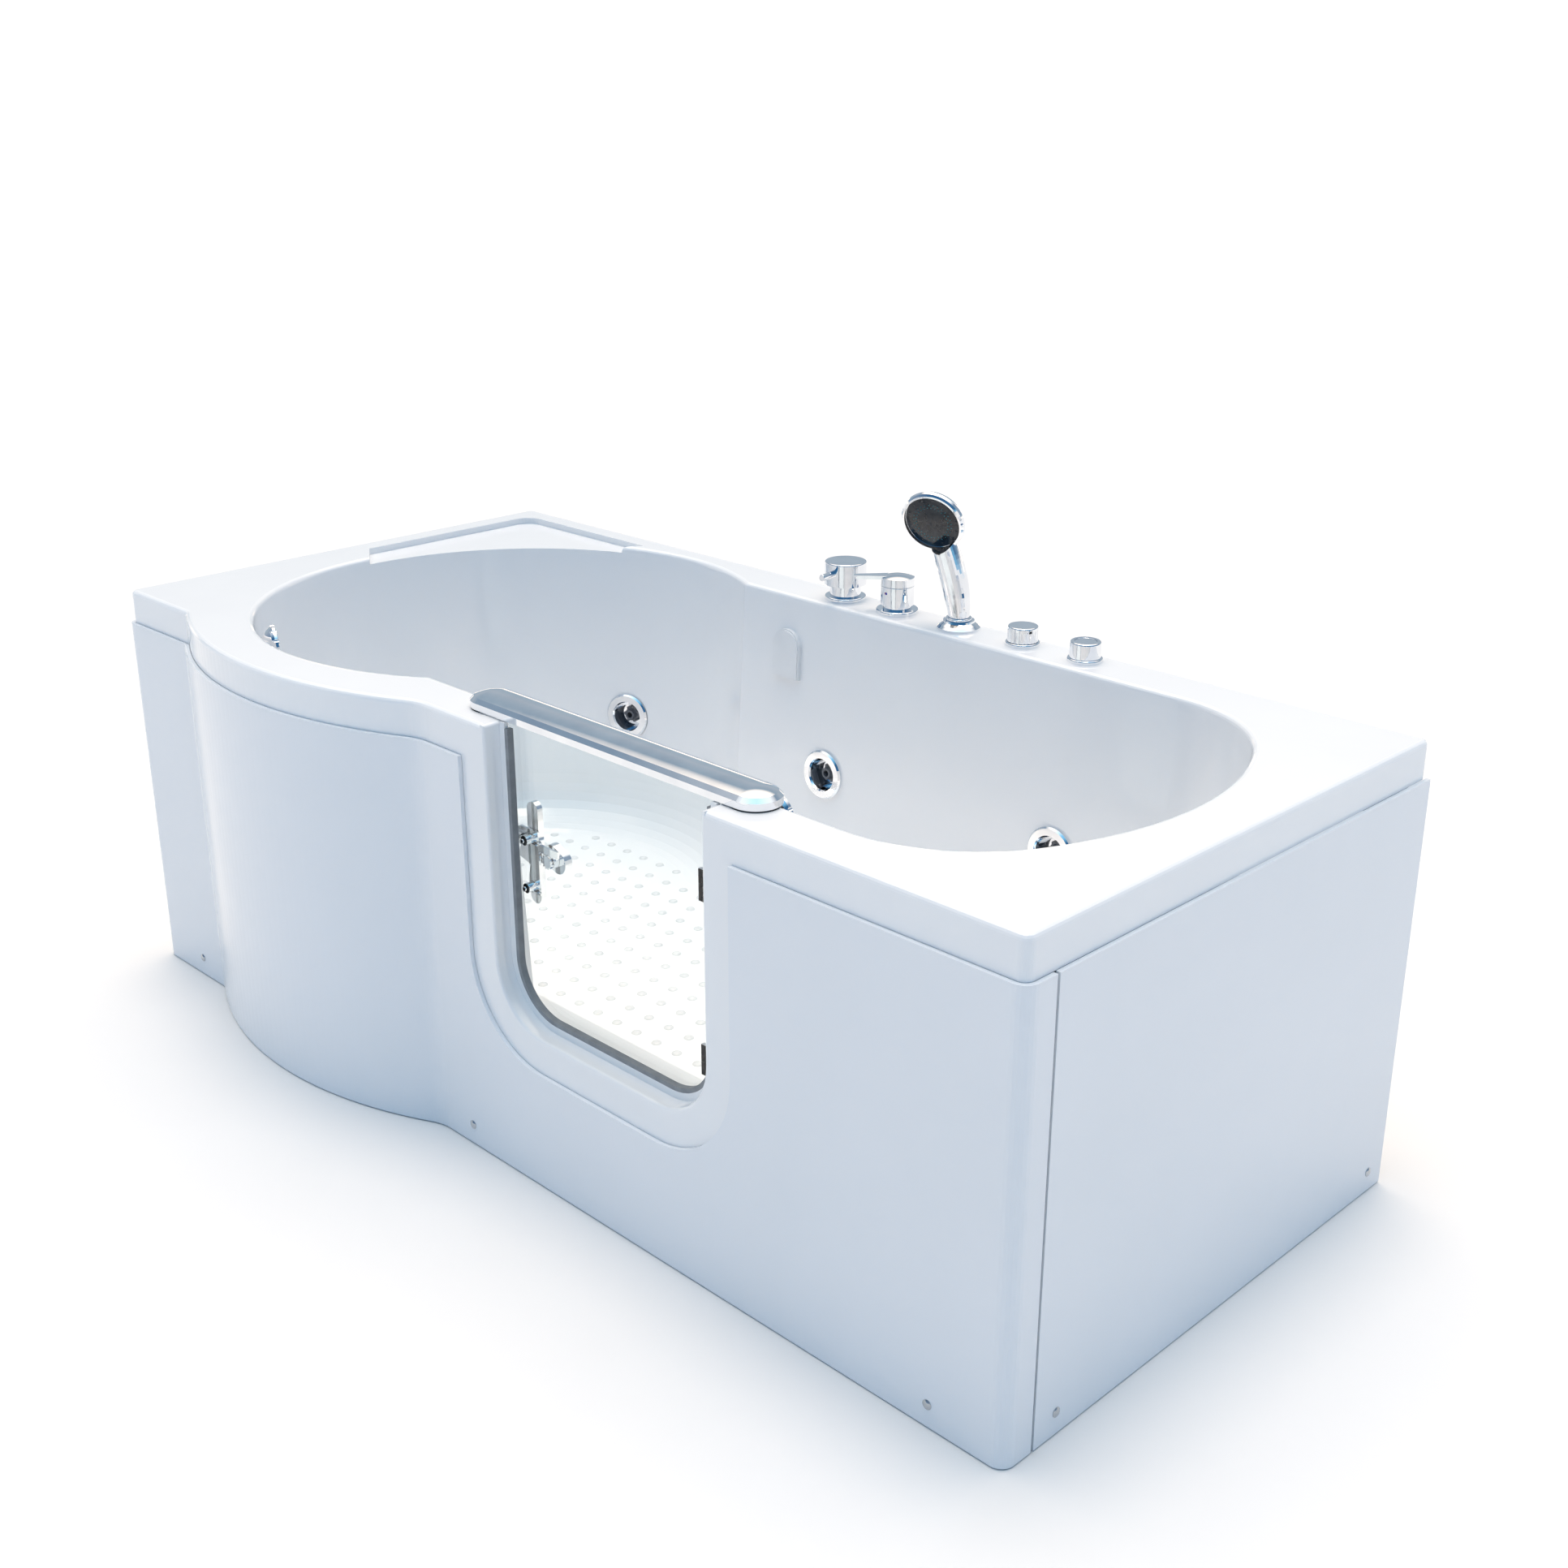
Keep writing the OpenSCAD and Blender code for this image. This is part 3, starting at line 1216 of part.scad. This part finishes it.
placed() drain_plug_left();
placed() drain_plug_right();
placed() drain_traps();
placed() deck_nuts();
placed() diverter_base();
placed() diverter_knob();
placed() mixer_base();
placed() mixer_swivel();
placed() mixer_lever();
placed() shower_holder();
placed() shower_socket();
placed() hand_shower();
placed() spray_face();
placed() air_valve_base();
placed() air_valve_knob();
placed() switch_base();
placed() switch_button();
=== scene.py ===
# Looks for the walk-in bathtub: materials, the small surface detail, floor, light and camera.
# Metres, in the part's own frame: X along the tub, Y towards the deck fittings, Z up from the floor.

import json
import math

import bmesh
import bpy
from mathutils import Euler, Matrix, Vector


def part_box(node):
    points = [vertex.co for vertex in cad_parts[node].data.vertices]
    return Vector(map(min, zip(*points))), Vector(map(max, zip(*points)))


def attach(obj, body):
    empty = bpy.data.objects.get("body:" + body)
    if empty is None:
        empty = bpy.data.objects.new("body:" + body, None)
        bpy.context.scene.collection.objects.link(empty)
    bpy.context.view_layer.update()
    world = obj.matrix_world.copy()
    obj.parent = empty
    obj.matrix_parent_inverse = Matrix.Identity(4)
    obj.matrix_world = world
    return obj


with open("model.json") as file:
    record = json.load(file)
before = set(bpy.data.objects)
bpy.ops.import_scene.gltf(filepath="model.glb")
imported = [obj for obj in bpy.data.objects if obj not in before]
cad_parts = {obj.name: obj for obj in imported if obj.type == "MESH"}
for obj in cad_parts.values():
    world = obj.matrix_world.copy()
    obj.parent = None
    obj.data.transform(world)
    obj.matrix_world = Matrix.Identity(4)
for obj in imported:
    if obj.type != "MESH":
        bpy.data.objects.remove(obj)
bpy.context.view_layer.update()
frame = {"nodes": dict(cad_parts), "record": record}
nodes = frame["nodes"]
MM = 0.001

# The CAD's corner frame starts at the rim's left front corner
CORNER = Vector((-0.850, -0.341, 0.0))
RIM_TOP = 602  # mm
DECK_ROW_Y = 722.8  # mm, the line of the deck fittings
SUNK = 0.1 * MM  # how far each small piece is let into what carries it

# Basin floor, from the CAD: a round part, a straight part and a flat rounded end
FLOOR_Z = 130 * MM
ROUND_CENTRE = (455 * MM, 360 * MM)
ROUND_FLOOR_R = 254 * MM
MID_Y = 375 * MM
STRAIGHT_HALF = 196 * MM
END_CENTRE_X = 1193 * MM
END_FLOOR_R = 323 * MM


# ---------------------------------------------------------------- materials

def new_material(name):
    """An empty node material and its Principled shader."""
    mat = bpy.data.materials.new(name)
    mat.use_nodes = True
    return mat, mat.node_tree.nodes["Principled BSDF"]


def add(mat, kind, **settings):
    """A node with its properties or input values set."""
    node = mat.node_tree.nodes.new(kind)
    for key, value in settings.items():
        if key in node.inputs:
            node.inputs[key].default_value = value
        else:
            setattr(node, key, value)
    return node


def link(mat, source, target):
    """Joins an output to an input."""
    mat.node_tree.links.new(source, target)


def noise(mat, scale, detail=3.0, roughness=0.5):
    """Noise in object space, the scale in features a metre."""
    place = add(mat, "ShaderNodeTexCoord")
    texture = add(mat, "ShaderNodeTexNoise", Scale=scale, Detail=detail, Roughness=roughness)
    link(mat, place.outputs["Object"], texture.inputs["Vector"])
    return texture.outputs["Fac"]


def ramp(mat, source, low, high):
    """Spreads a noise over a range."""
    spread = add(mat, "ShaderNodeMapRange")
    spread.inputs["From Min"].default_value = 0.3
    spread.inputs["From Max"].default_value = 0.7
    spread.inputs["To Min"].default_value = low
    spread.inputs["To Max"].default_value = high
    link(mat, source, spread.inputs["Value"])
    return spread.outputs["Result"]


def tint(mat, source, dark, light):
    """A colour that wanders between two others."""
    mix = add(mat, "ShaderNodeMix", data_type="RGBA")
    mix.inputs["A"].default_value = (*dark, 1)
    mix.inputs["B"].default_value = (*light, 1)
    link(mat, source, mix.inputs["Factor"])
    return mix.outputs["Result"]


def bump(mat, source, height, strength=1.0):
    """Bump of a height in metres."""
    node = add(mat, "ShaderNodeBump", Strength=strength, Distance=height)
    link(mat, source, node.inputs["Height"])
    return node.outputs["Normal"]


def surface(name, dark, light, rough, metallic=0.0, grain=40.0, fine=900.0, height=0.00002, **more):
    """The common surface: wandering colour, wandering roughness and a fine bump."""
    mat, shader = new_material(name)
    shader.inputs["Metallic"].default_value = metallic
    for key, value in more.items():
        shader.inputs[key.replace("_", " ")].default_value = value
    wander = ramp(mat, noise(mat, grain), 0.0, 1.0)
    link(mat, tint(mat, wander, dark, light), shader.inputs["Base Color"])
    link(mat, ramp(mat, noise(mat, grain * 2.3), *rough), shader.inputs["Roughness"])
    link(mat, bump(mat, noise(mat, fine), height), shader.inputs["Normal"])
    return mat


def glass_material():
    """Clear, faintly green glass."""
    mat, shader = new_material("clear_glass")
    shader.inputs["Transmission Weight"].default_value = 1.0
    shader.inputs["IOR"].default_value = 1.45
    wander = ramp(mat, noise(mat, 6.0), 0.0, 1.0)
    link(mat, tint(mat, wander, (0.93, 0.98, 0.97), (0.97, 1.0, 0.995)), shader.inputs["Base Color"])
    link(mat, ramp(mat, noise(mat, 30.0), 0.0, 0.015), shader.inputs["Roughness"])
    return mat


def chrome_material(name, dark, light, rough):
    """A bare metal with very faint grain."""
    return surface(name, dark, light, rough, metallic=1.0, grain=25.0, fine=400.0, height=0.000004)


def ply_material():
    """Plywood: long grain along X."""
    mat, shader = new_material("plywood")
    place = add(mat, "ShaderNodeTexCoord")
    stretch = add(mat, "ShaderNodeMapping")
    stretch.inputs["Scale"].default_value = (3, 60, 60)
    link(mat, place.outputs["Object"], stretch.inputs["Vector"])
    grain = add(mat, "ShaderNodeTexNoise", Scale=2.0, Detail=8.0)
    link(mat, stretch.outputs["Vector"], grain.inputs["Vector"])
    fibre = ramp(mat, grain.outputs["Fac"], 0.0, 1.0)
    link(mat, tint(mat, fibre, (0.42, 0.27, 0.14), (0.66, 0.47, 0.27)), shader.inputs["Base Color"])
    link(mat, bump(mat, grain.outputs["Fac"], 0.0003), shader.inputs["Normal"])
    link(mat, ramp(mat, grain.outputs["Fac"], 0.5, 0.75), shader.inputs["Roughness"])
    return mat


ACRYLIC = surface("acrylic", (0.925, 0.93, 0.94), (0.95, 0.955, 0.96), (0.10, 0.17), grain=5.0,
                  fine=60.0, height=0.00004, Coat_Weight=0.6, Coat_Roughness=0.05)
# The studs' grey is painted shade: the real studs are the same acrylic as the floor, greyed so that the
# shade around each one shows.
STUD_SHADE_PAINTED = surface("stud_painted_shade", (0.70, 0.715, 0.73), (0.75, 0.76, 0.77), (0.14, 0.2), grain=60.0)
PANEL = surface("panel_acrylic", (0.85, 0.875, 0.905), (0.88, 0.90, 0.93), (0.16, 0.24), grain=4.0,
                fine=50.0, height=0.00005, Coat_Weight=0.4, Coat_Roughness=0.08)
CHROME = chrome_material("chrome", (0.80, 0.82, 0.85), (0.90, 0.915, 0.93), (0.03, 0.09))
SATIN = chrome_material("satin_steel", (0.55, 0.56, 0.58), (0.66, 0.67, 0.69), (0.22, 0.36))
SCREW = chrome_material("screw_steel", (0.42, 0.44, 0.46), (0.55, 0.57, 0.60), (0.15, 0.30))
BRASS = chrome_material("brass", (0.58, 0.42, 0.17), (0.74, 0.56, 0.26), (0.18, 0.35))
GLASS = glass_material()
SEAL = surface("seal_rubber", (0.22, 0.235, 0.25), (0.30, 0.315, 0.33), (0.45, 0.6), grain=60.0)
PAD_RUBBER = surface("pad_rubber", (0.018, 0.018, 0.019), (0.035, 0.035, 0.037), (0.5, 0.7), grain=70.0)
NOZZLE = surface("nozzle_plastic", (0.10, 0.11, 0.13), (0.16, 0.17, 0.19), (0.25, 0.4), grain=90.0)
PVC = surface("pvc", (0.74, 0.75, 0.74), (0.82, 0.83, 0.82), (0.3, 0.42), grain=12.0)
BLACK = surface("black_plastic", (0.014, 0.014, 0.016), (0.03, 0.03, 0.033), (0.35, 0.55), grain=50.0,
                fine=1500.0, height=0.00006)
MOTOR = surface("motor_paint", (0.035, 0.038, 0.043), (0.06, 0.063, 0.07), (0.35, 0.5), grain=30.0,
                fine=700.0, height=0.00008)
FRAME = surface("frame_paint", (0.26, 0.28, 0.30), (0.36, 0.38, 0.40), (0.35, 0.5), metallic=0.4,
                grain=18.0, fine=300.0, height=0.00006)
COVER = surface("cover_plastic", (0.87, 0.875, 0.88), (0.91, 0.915, 0.92), (0.12, 0.2), grain=20.0)
SPRAY = surface("spray_plastic", (0.008, 0.011, 0.016), (0.018, 0.023, 0.03), (0.08, 0.16), grain=80.0)
TEAL = surface("spray_nozzle", (0.02, 0.13, 0.15), (0.04, 0.20, 0.22), (0.35, 0.5), grain=200.0)
NYLON = surface("bracket_plastic", (0.035, 0.037, 0.04), (0.06, 0.062, 0.066), (0.4, 0.6), grain=60.0)
RED = surface("mark_red", (0.45, 0.012, 0.015), (0.60, 0.02, 0.025), (0.2, 0.3), grain=300.0)
BLUE = surface("mark_blue", (0.01, 0.03, 0.30), (0.02, 0.05, 0.42), (0.2, 0.3), grain=300.0)

BY_SLOT = {
    "acrylic": ACRYLIC, "panel_acrylic": PANEL, "plywood": ply_material(), "bracket_plastic": NYLON,
    "screw_steel": SCREW, "frame_paint": FRAME, "foot_steel": SATIN, "foot_rubber": PAD_RUBBER,
    "seal_rubber": SEAL, "door_glass": GLASS, "chrome": CHROME, "pad_rubber": PAD_RUBBER,
    "hinge_steel": SATIN, "nozzle_plastic": NOZZLE, "pipe_plastic": PVC, "pump_plastic": BLACK,
    "motor_paint": MOTOR, "cover_plastic": COVER, "drain_plastic": BLACK, "brass": BRASS,
    "spray_plastic": SPRAY,
}


def dress_nodes():
    """Gives each CAD node its material, by the record's material slot."""
    for part in frame["record"]["subparts"]:
        data = nodes[part["node"]].data
        data.materials.clear()
        data.materials.append(BY_SLOT[part["material_slot"]])


# ---------------------------------------------------------------- pieces

def mesh_object(name, build, mat):
    """A new object in the scene, its mesh filled by build(bm)."""
    bm = bmesh.new()
    build(bm)
    mesh = bpy.data.meshes.new(name)
    bm.to_mesh(mesh)
    bm.free()
    mesh.materials.append(mat)
    obj = bpy.data.objects.new(name, mesh)
    bpy.context.scene.collection.objects.link(obj)
    return obj


def piece(name, build, mat, body):
    """A new smooth piece, filled by build(bm), which rides on a body."""
    obj = mesh_object(name, build, mat)
    obj.data.shade_smooth()
    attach(obj, body)
    return obj


def dome(bm, centre, radius, height, normal=(0, 0, 1), rings=3, around=14):
    """A low dome: rings of points over a rim that lies on the surface."""
    turn = Vector((0, 0, 1)).rotation_difference(Vector(normal)).to_matrix()
    levels = []
    for i in range(rings):
        tilt = math.radians(90) * i / rings
        levels.append([bm.verts.new(Vector(centre) + turn @ Vector((
            radius * math.cos(tilt) * math.cos(math.tau * k / around),
            radius * math.cos(tilt) * math.sin(math.tau * k / around),
            height * math.sin(tilt)))) for k in range(around)])
    top = bm.verts.new(Vector(centre) + turn @ Vector((0, 0, height)))
    for low, high in zip(levels, levels[1:]):
        for k in range(around):
            bm.faces.new((low[k], low[(k + 1) % around], high[(k + 1) % around], high[k]))
    for k in range(around):
        bm.faces.new((levels[-1][k], levels[-1][(k + 1) % around], top))


def floor_studs():
    """Anti-slip studs on the basin's floor, in staggered rows, clear of the drains; their grey is painted
    shade.
    """
    pitch, row_pitch = 40 * MM, 39.6 * MM
    radius, height = 7.2 * MM, 2.4 * MM
    rows, per_row = 13, 42
    first_row = 593 * MM
    even_start, odd_start = 35 * MM, 15 * MM
    clear_of_drain = 50 * MM
    boxes = [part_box(n) for n in ("drain_plug_left", "drain_plug_right")]
    drains = [(low + high) / 2 - CORNER for low, high in boxes]

    def on_floor(x, y):
        if any(math.hypot(x - d.x, y - d.y) < clear_of_drain for d in drains):
            return False
        if math.hypot(x - ROUND_CENTRE[0], y - ROUND_CENTRE[1]) < ROUND_FLOOR_R:
            return True
        if abs(y - MID_Y) > STRAIGHT_HALF or x < ROUND_CENTRE[0]:
            return False
        return x < END_CENTRE_X or math.hypot(x - END_CENTRE_X, y - MID_Y) < END_FLOOR_R

    def build(bm):
        for row in range(rows):
            y = first_row - row * row_pitch
            start = even_start if row % 2 == 0 else odd_start
            for i in range(per_row):
                x = start + i * pitch
                if on_floor(x, y):
                    dome(bm, CORNER + Vector((x, y, FLOOR_Z - SUNK)), radius, height)

    return piece("floor_studs", build, STUD_SHADE_PAINTED, "tub")


def head_frame():
    """The shower head's frame: its origin, and the turn that takes Z to the way it sprays."""
    holder_x = 1009
    origin = CORNER + Vector((holder_x - 25, DECK_ROW_Y - 34, RIM_TOP + 150)) * MM
    normal = Vector((0.30, -0.89, -0.34)).normalized()
    return origin, Vector((0, 0, 1)).rotation_difference(normal).to_matrix()


def face_height(r):
    """Height of the domed spray face over the head's frame, at a distance from its axis."""
    dome_r, centre_below = 165 * MM, 164 * MM
    return math.sqrt(dome_r ** 2 - r ** 2) - centre_below


def spray_ring(bm, radius, count, size, height, phase=0.0):
    """A ring of small domes on the spray face."""
    origin, turn = head_frame()
    for k in range(count):
        a = math.tau * (k + phase) / count
        spot = Vector((radius * math.cos(a), radius * math.sin(a), face_height(radius) - SUNK))
        dome(bm, origin + turn @ spot, size, height, turn @ Vector((0, 0, 1)), around=10)


def spray_details():
    """Two staggered rings of soft nozzles, an outer ring of wide ones and a small middle group."""
    def soft(bm):
        spray_ring(bm, 23.4 * MM, 27, 1.0 * MM, 0.9 * MM)
        spray_ring(bm, 27.4 * MM, 27, 1.0 * MM, 0.9 * MM, phase=0.5)

    def wide(bm):
        spray_ring(bm, 34.5 * MM, 14, 2.2 * MM, 0.8 * MM)
        spray_ring(bm, 8 * MM, 8, 1.1 * MM, 0.5 * MM)
        spray_ring(bm, 14 * MM, 14, 0.9 * MM, 0.4 * MM, phase=0.5)

    piece("spray_nozzles_soft", soft, TEAL, "hand_shower")
    piece("spray_nozzles_wide", wide, SPRAY, "hand_shower")


def soft_block(bm, size, edge, segments):
    """A block about the origin with rounded edges, all sizes in millimetres."""
    bmesh.ops.create_cube(bm, size=1)
    bmesh.ops.scale(bm, vec=Vector(size) * MM, verts=bm.verts)
    bmesh.ops.bevel(bm, geom=bm.edges[:], offset=edge * MM, segments=segments, affect="EDGES")


def black_handle_block():
    """Small black block on the front of the handle, just below the head."""
    def build(bm):
        soft_block(bm, (9, 5, 5), 1.4, 3)
        tilt = Matrix.Rotation(math.radians(-12), 4, "X")
        bmesh.ops.transform(bm, matrix=tilt, verts=bm.verts)
        bmesh.ops.translate(bm, vec=CORNER + Vector((994.1, 691.4, 711.8)) * MM, verts=bm.verts)

    piece("black_handle_block", build, BLACK, "hand_shower")


def mixer_marks():
    """The hot and cold mark on the mixer's drum: a blue dot with a red edge."""
    mark_height = 633
    middle = CORNER + Vector((894, DECK_ROW_Y, mark_height)) * MM
    drum_r, faces, mark_r = 24 * MM, -91, 2.0 * MM

    def spot(shift, height):
        def build(bm):
            a = math.radians(faces + shift)
            out = Vector((math.cos(a), math.sin(a), 0))
            dome(bm, middle + out * (drum_r - 0.15 * MM), mark_r, height, out, around=20)
        return build

    piece("mark_hot", spot(-2.4, 0.45 * MM), RED, "mixer_swivel")
    piece("mark_cold", spot(0, 0.6 * MM), BLUE, "mixer_swivel")


def air_mark():
    """Small black window on the air knob's side."""
    knob_x, mark_height, out_to = 1122, 623.5, 20.6

    def build(bm):
        soft_block(bm, (1.6, 4.2, 4.2), 0.5, 2)
        bmesh.ops.translate(bm, vec=Vector((out_to * MM, 0, 0)), verts=bm.verts)
        turn = Matrix.Rotation(math.radians(-22.5), 4, "Z")
        bmesh.ops.transform(bm, matrix=turn, verts=bm.verts)
        bmesh.ops.translate(bm, vec=CORNER + Vector((knob_x, DECK_ROW_Y, mark_height)) * MM, verts=bm.verts)

    piece("air_mark", build, BLACK, "air_valve_knob")


def build_all():
    """Dresses the CAD's nodes and adds every small piece."""
    dress_nodes()
    floor_studs()
    spray_details()
    black_handle_block()
    mixer_marks()
    air_mark()


# ---------------------------------------------------------------- stage, light and camera

def stage():
    """A wide pale floor."""
    paint = surface("floor_paint", (0.845, 0.84, 0.835), (0.865, 0.86, 0.855), (0.6, 0.7), grain=2.0)

    def build(bm):
        bmesh.ops.create_circle(bm, cap_ends=True, segments=96, radius=60)

    mesh_object("floor", build, paint)


# The surround's colours by height: pale at the horizon, blue above it and bright overhead
SKY_STOPS = ((0.0, (0.53, 0.52, 0.51)), (0.035, (0.53, 0.52, 0.51)), (0.09, (0.11, 0.16, 0.215)),
             (0.36, (0.134, 0.172, 0.222)), (0.60, (0.10, 0.145, 0.20)), (0.78, (0.68, 0.66, 0.64)),
             (1.0, (1.20, 1.10, 1.00)))
TINT_FRONT = (0.18, 0.46, 0.72, 1)
TINT_BACK = (1.60, 1.42, 1.26, 1)
SEEN = (0.6, 0.6, 0.6, 1)


def mix_colours(tree, factor, low, high, blend="MIX"):
    """A Mix node of two colours, each of the three given as a constant or as an output."""
    mix = tree.nodes.new("ShaderNodeMix")
    mix.data_type = "RGBA"
    mix.blend_type = blend
    for socket, value in (("Factor", factor), ("A", low), ("B", high)):
        if isinstance(value, bpy.types.NodeSocket):
            tree.links.new(value, mix.inputs[socket])
        else:
            mix.inputs[socket].default_value = value
    return mix.outputs["Result"]


def sky_colour(tree):
    """The surround: colours by height, bluer in front of the tub and on its right, paler behind it."""
    place = tree.nodes.new("ShaderNodeTexCoord")
    axes = tree.nodes.new("ShaderNodeSeparateXYZ")
    height = tree.nodes.new("ShaderNodeValToRGB")
    for stop, colour in SKY_STOPS[1:-1]:
        height.color_ramp.elements.new(stop).color = (*colour, 1)
    height.color_ramp.elements[0].color = (*SKY_STOPS[0][1], 1)
    height.color_ramp.elements[-1].color = (*SKY_STOPS[-1][1], 1)
    tree.links.new(place.outputs["Generated"], axes.inputs["Vector"])
    tree.links.new(axes.outputs["Z"], height.inputs["Fac"])

    back = tree.nodes.new("ShaderNodeVectorMath")
    back.operation = "DOT_PRODUCT"
    back.inputs[1].default_value = (-0.7, 0.7, 0)
    tree.links.new(place.outputs["Generated"], back.inputs[0])
    spread = tree.nodes.new("ShaderNodeMapRange")
    spread.inputs["From Min"].default_value = -0.5
    spread.inputs["From Max"].default_value = 0.6
    tree.links.new(back.outputs["Value"], spread.inputs["Value"])

    side = mix_colours(tree, spread.outputs["Result"], TINT_FRONT, TINT_BACK)
    both = mix_colours(tree, 1.0, height.outputs["Color"], side, "MULTIPLY")
    # Seen directly, the surround is plain white; only light and reflections take its colours
    seen = tree.nodes.new("ShaderNodeLightPath")
    return mix_colours(tree, seen.outputs["Is Camera Ray"], both, SEEN)


def light():
    """The surround and a soft warm light from straight above."""
    world = bpy.data.worlds.new("studio")
    bpy.context.scene.world = world
    world.use_nodes = True
    back = world.node_tree.nodes["Background"]
    world.node_tree.links.new(sky_colour(world.node_tree), back.inputs["Color"])
    back.inputs["Strength"].default_value = 2.0
    data = bpy.data.lights.new("overhead", "SUN")
    data.energy = 1.30
    data.angle = math.radians(25)
    data.color = (1.0, 0.82, 0.66)
    sun = bpy.data.objects.new("overhead", data)
    sun.rotation_euler = Euler((math.radians(-2), math.radians(-3), 0))
    bpy.context.scene.collection.objects.link(sun)
    bpy.context.scene.view_settings.view_transform = "Standard"


def camera():
    """The photograph's camera, solved from the tub's parallel edges."""
    data = bpy.data.cameras.new("camera")
    data.sensor_fit = "HORIZONTAL"
    data.sensor_width = 36
    data.lens = 43.737
    data.clip_end = 200
    obj = bpy.data.objects.new("camera", data)
    obj.location = (1.7984, -1.6077, 1.3519)
    obj.rotation_euler = Euler([math.radians(a) for a in (69.0155, -0.0192, 44.9287)])
    bpy.context.scene.collection.objects.link(obj)
    bpy.context.scene.camera = obj


build_all()
stage()
light()
camera()
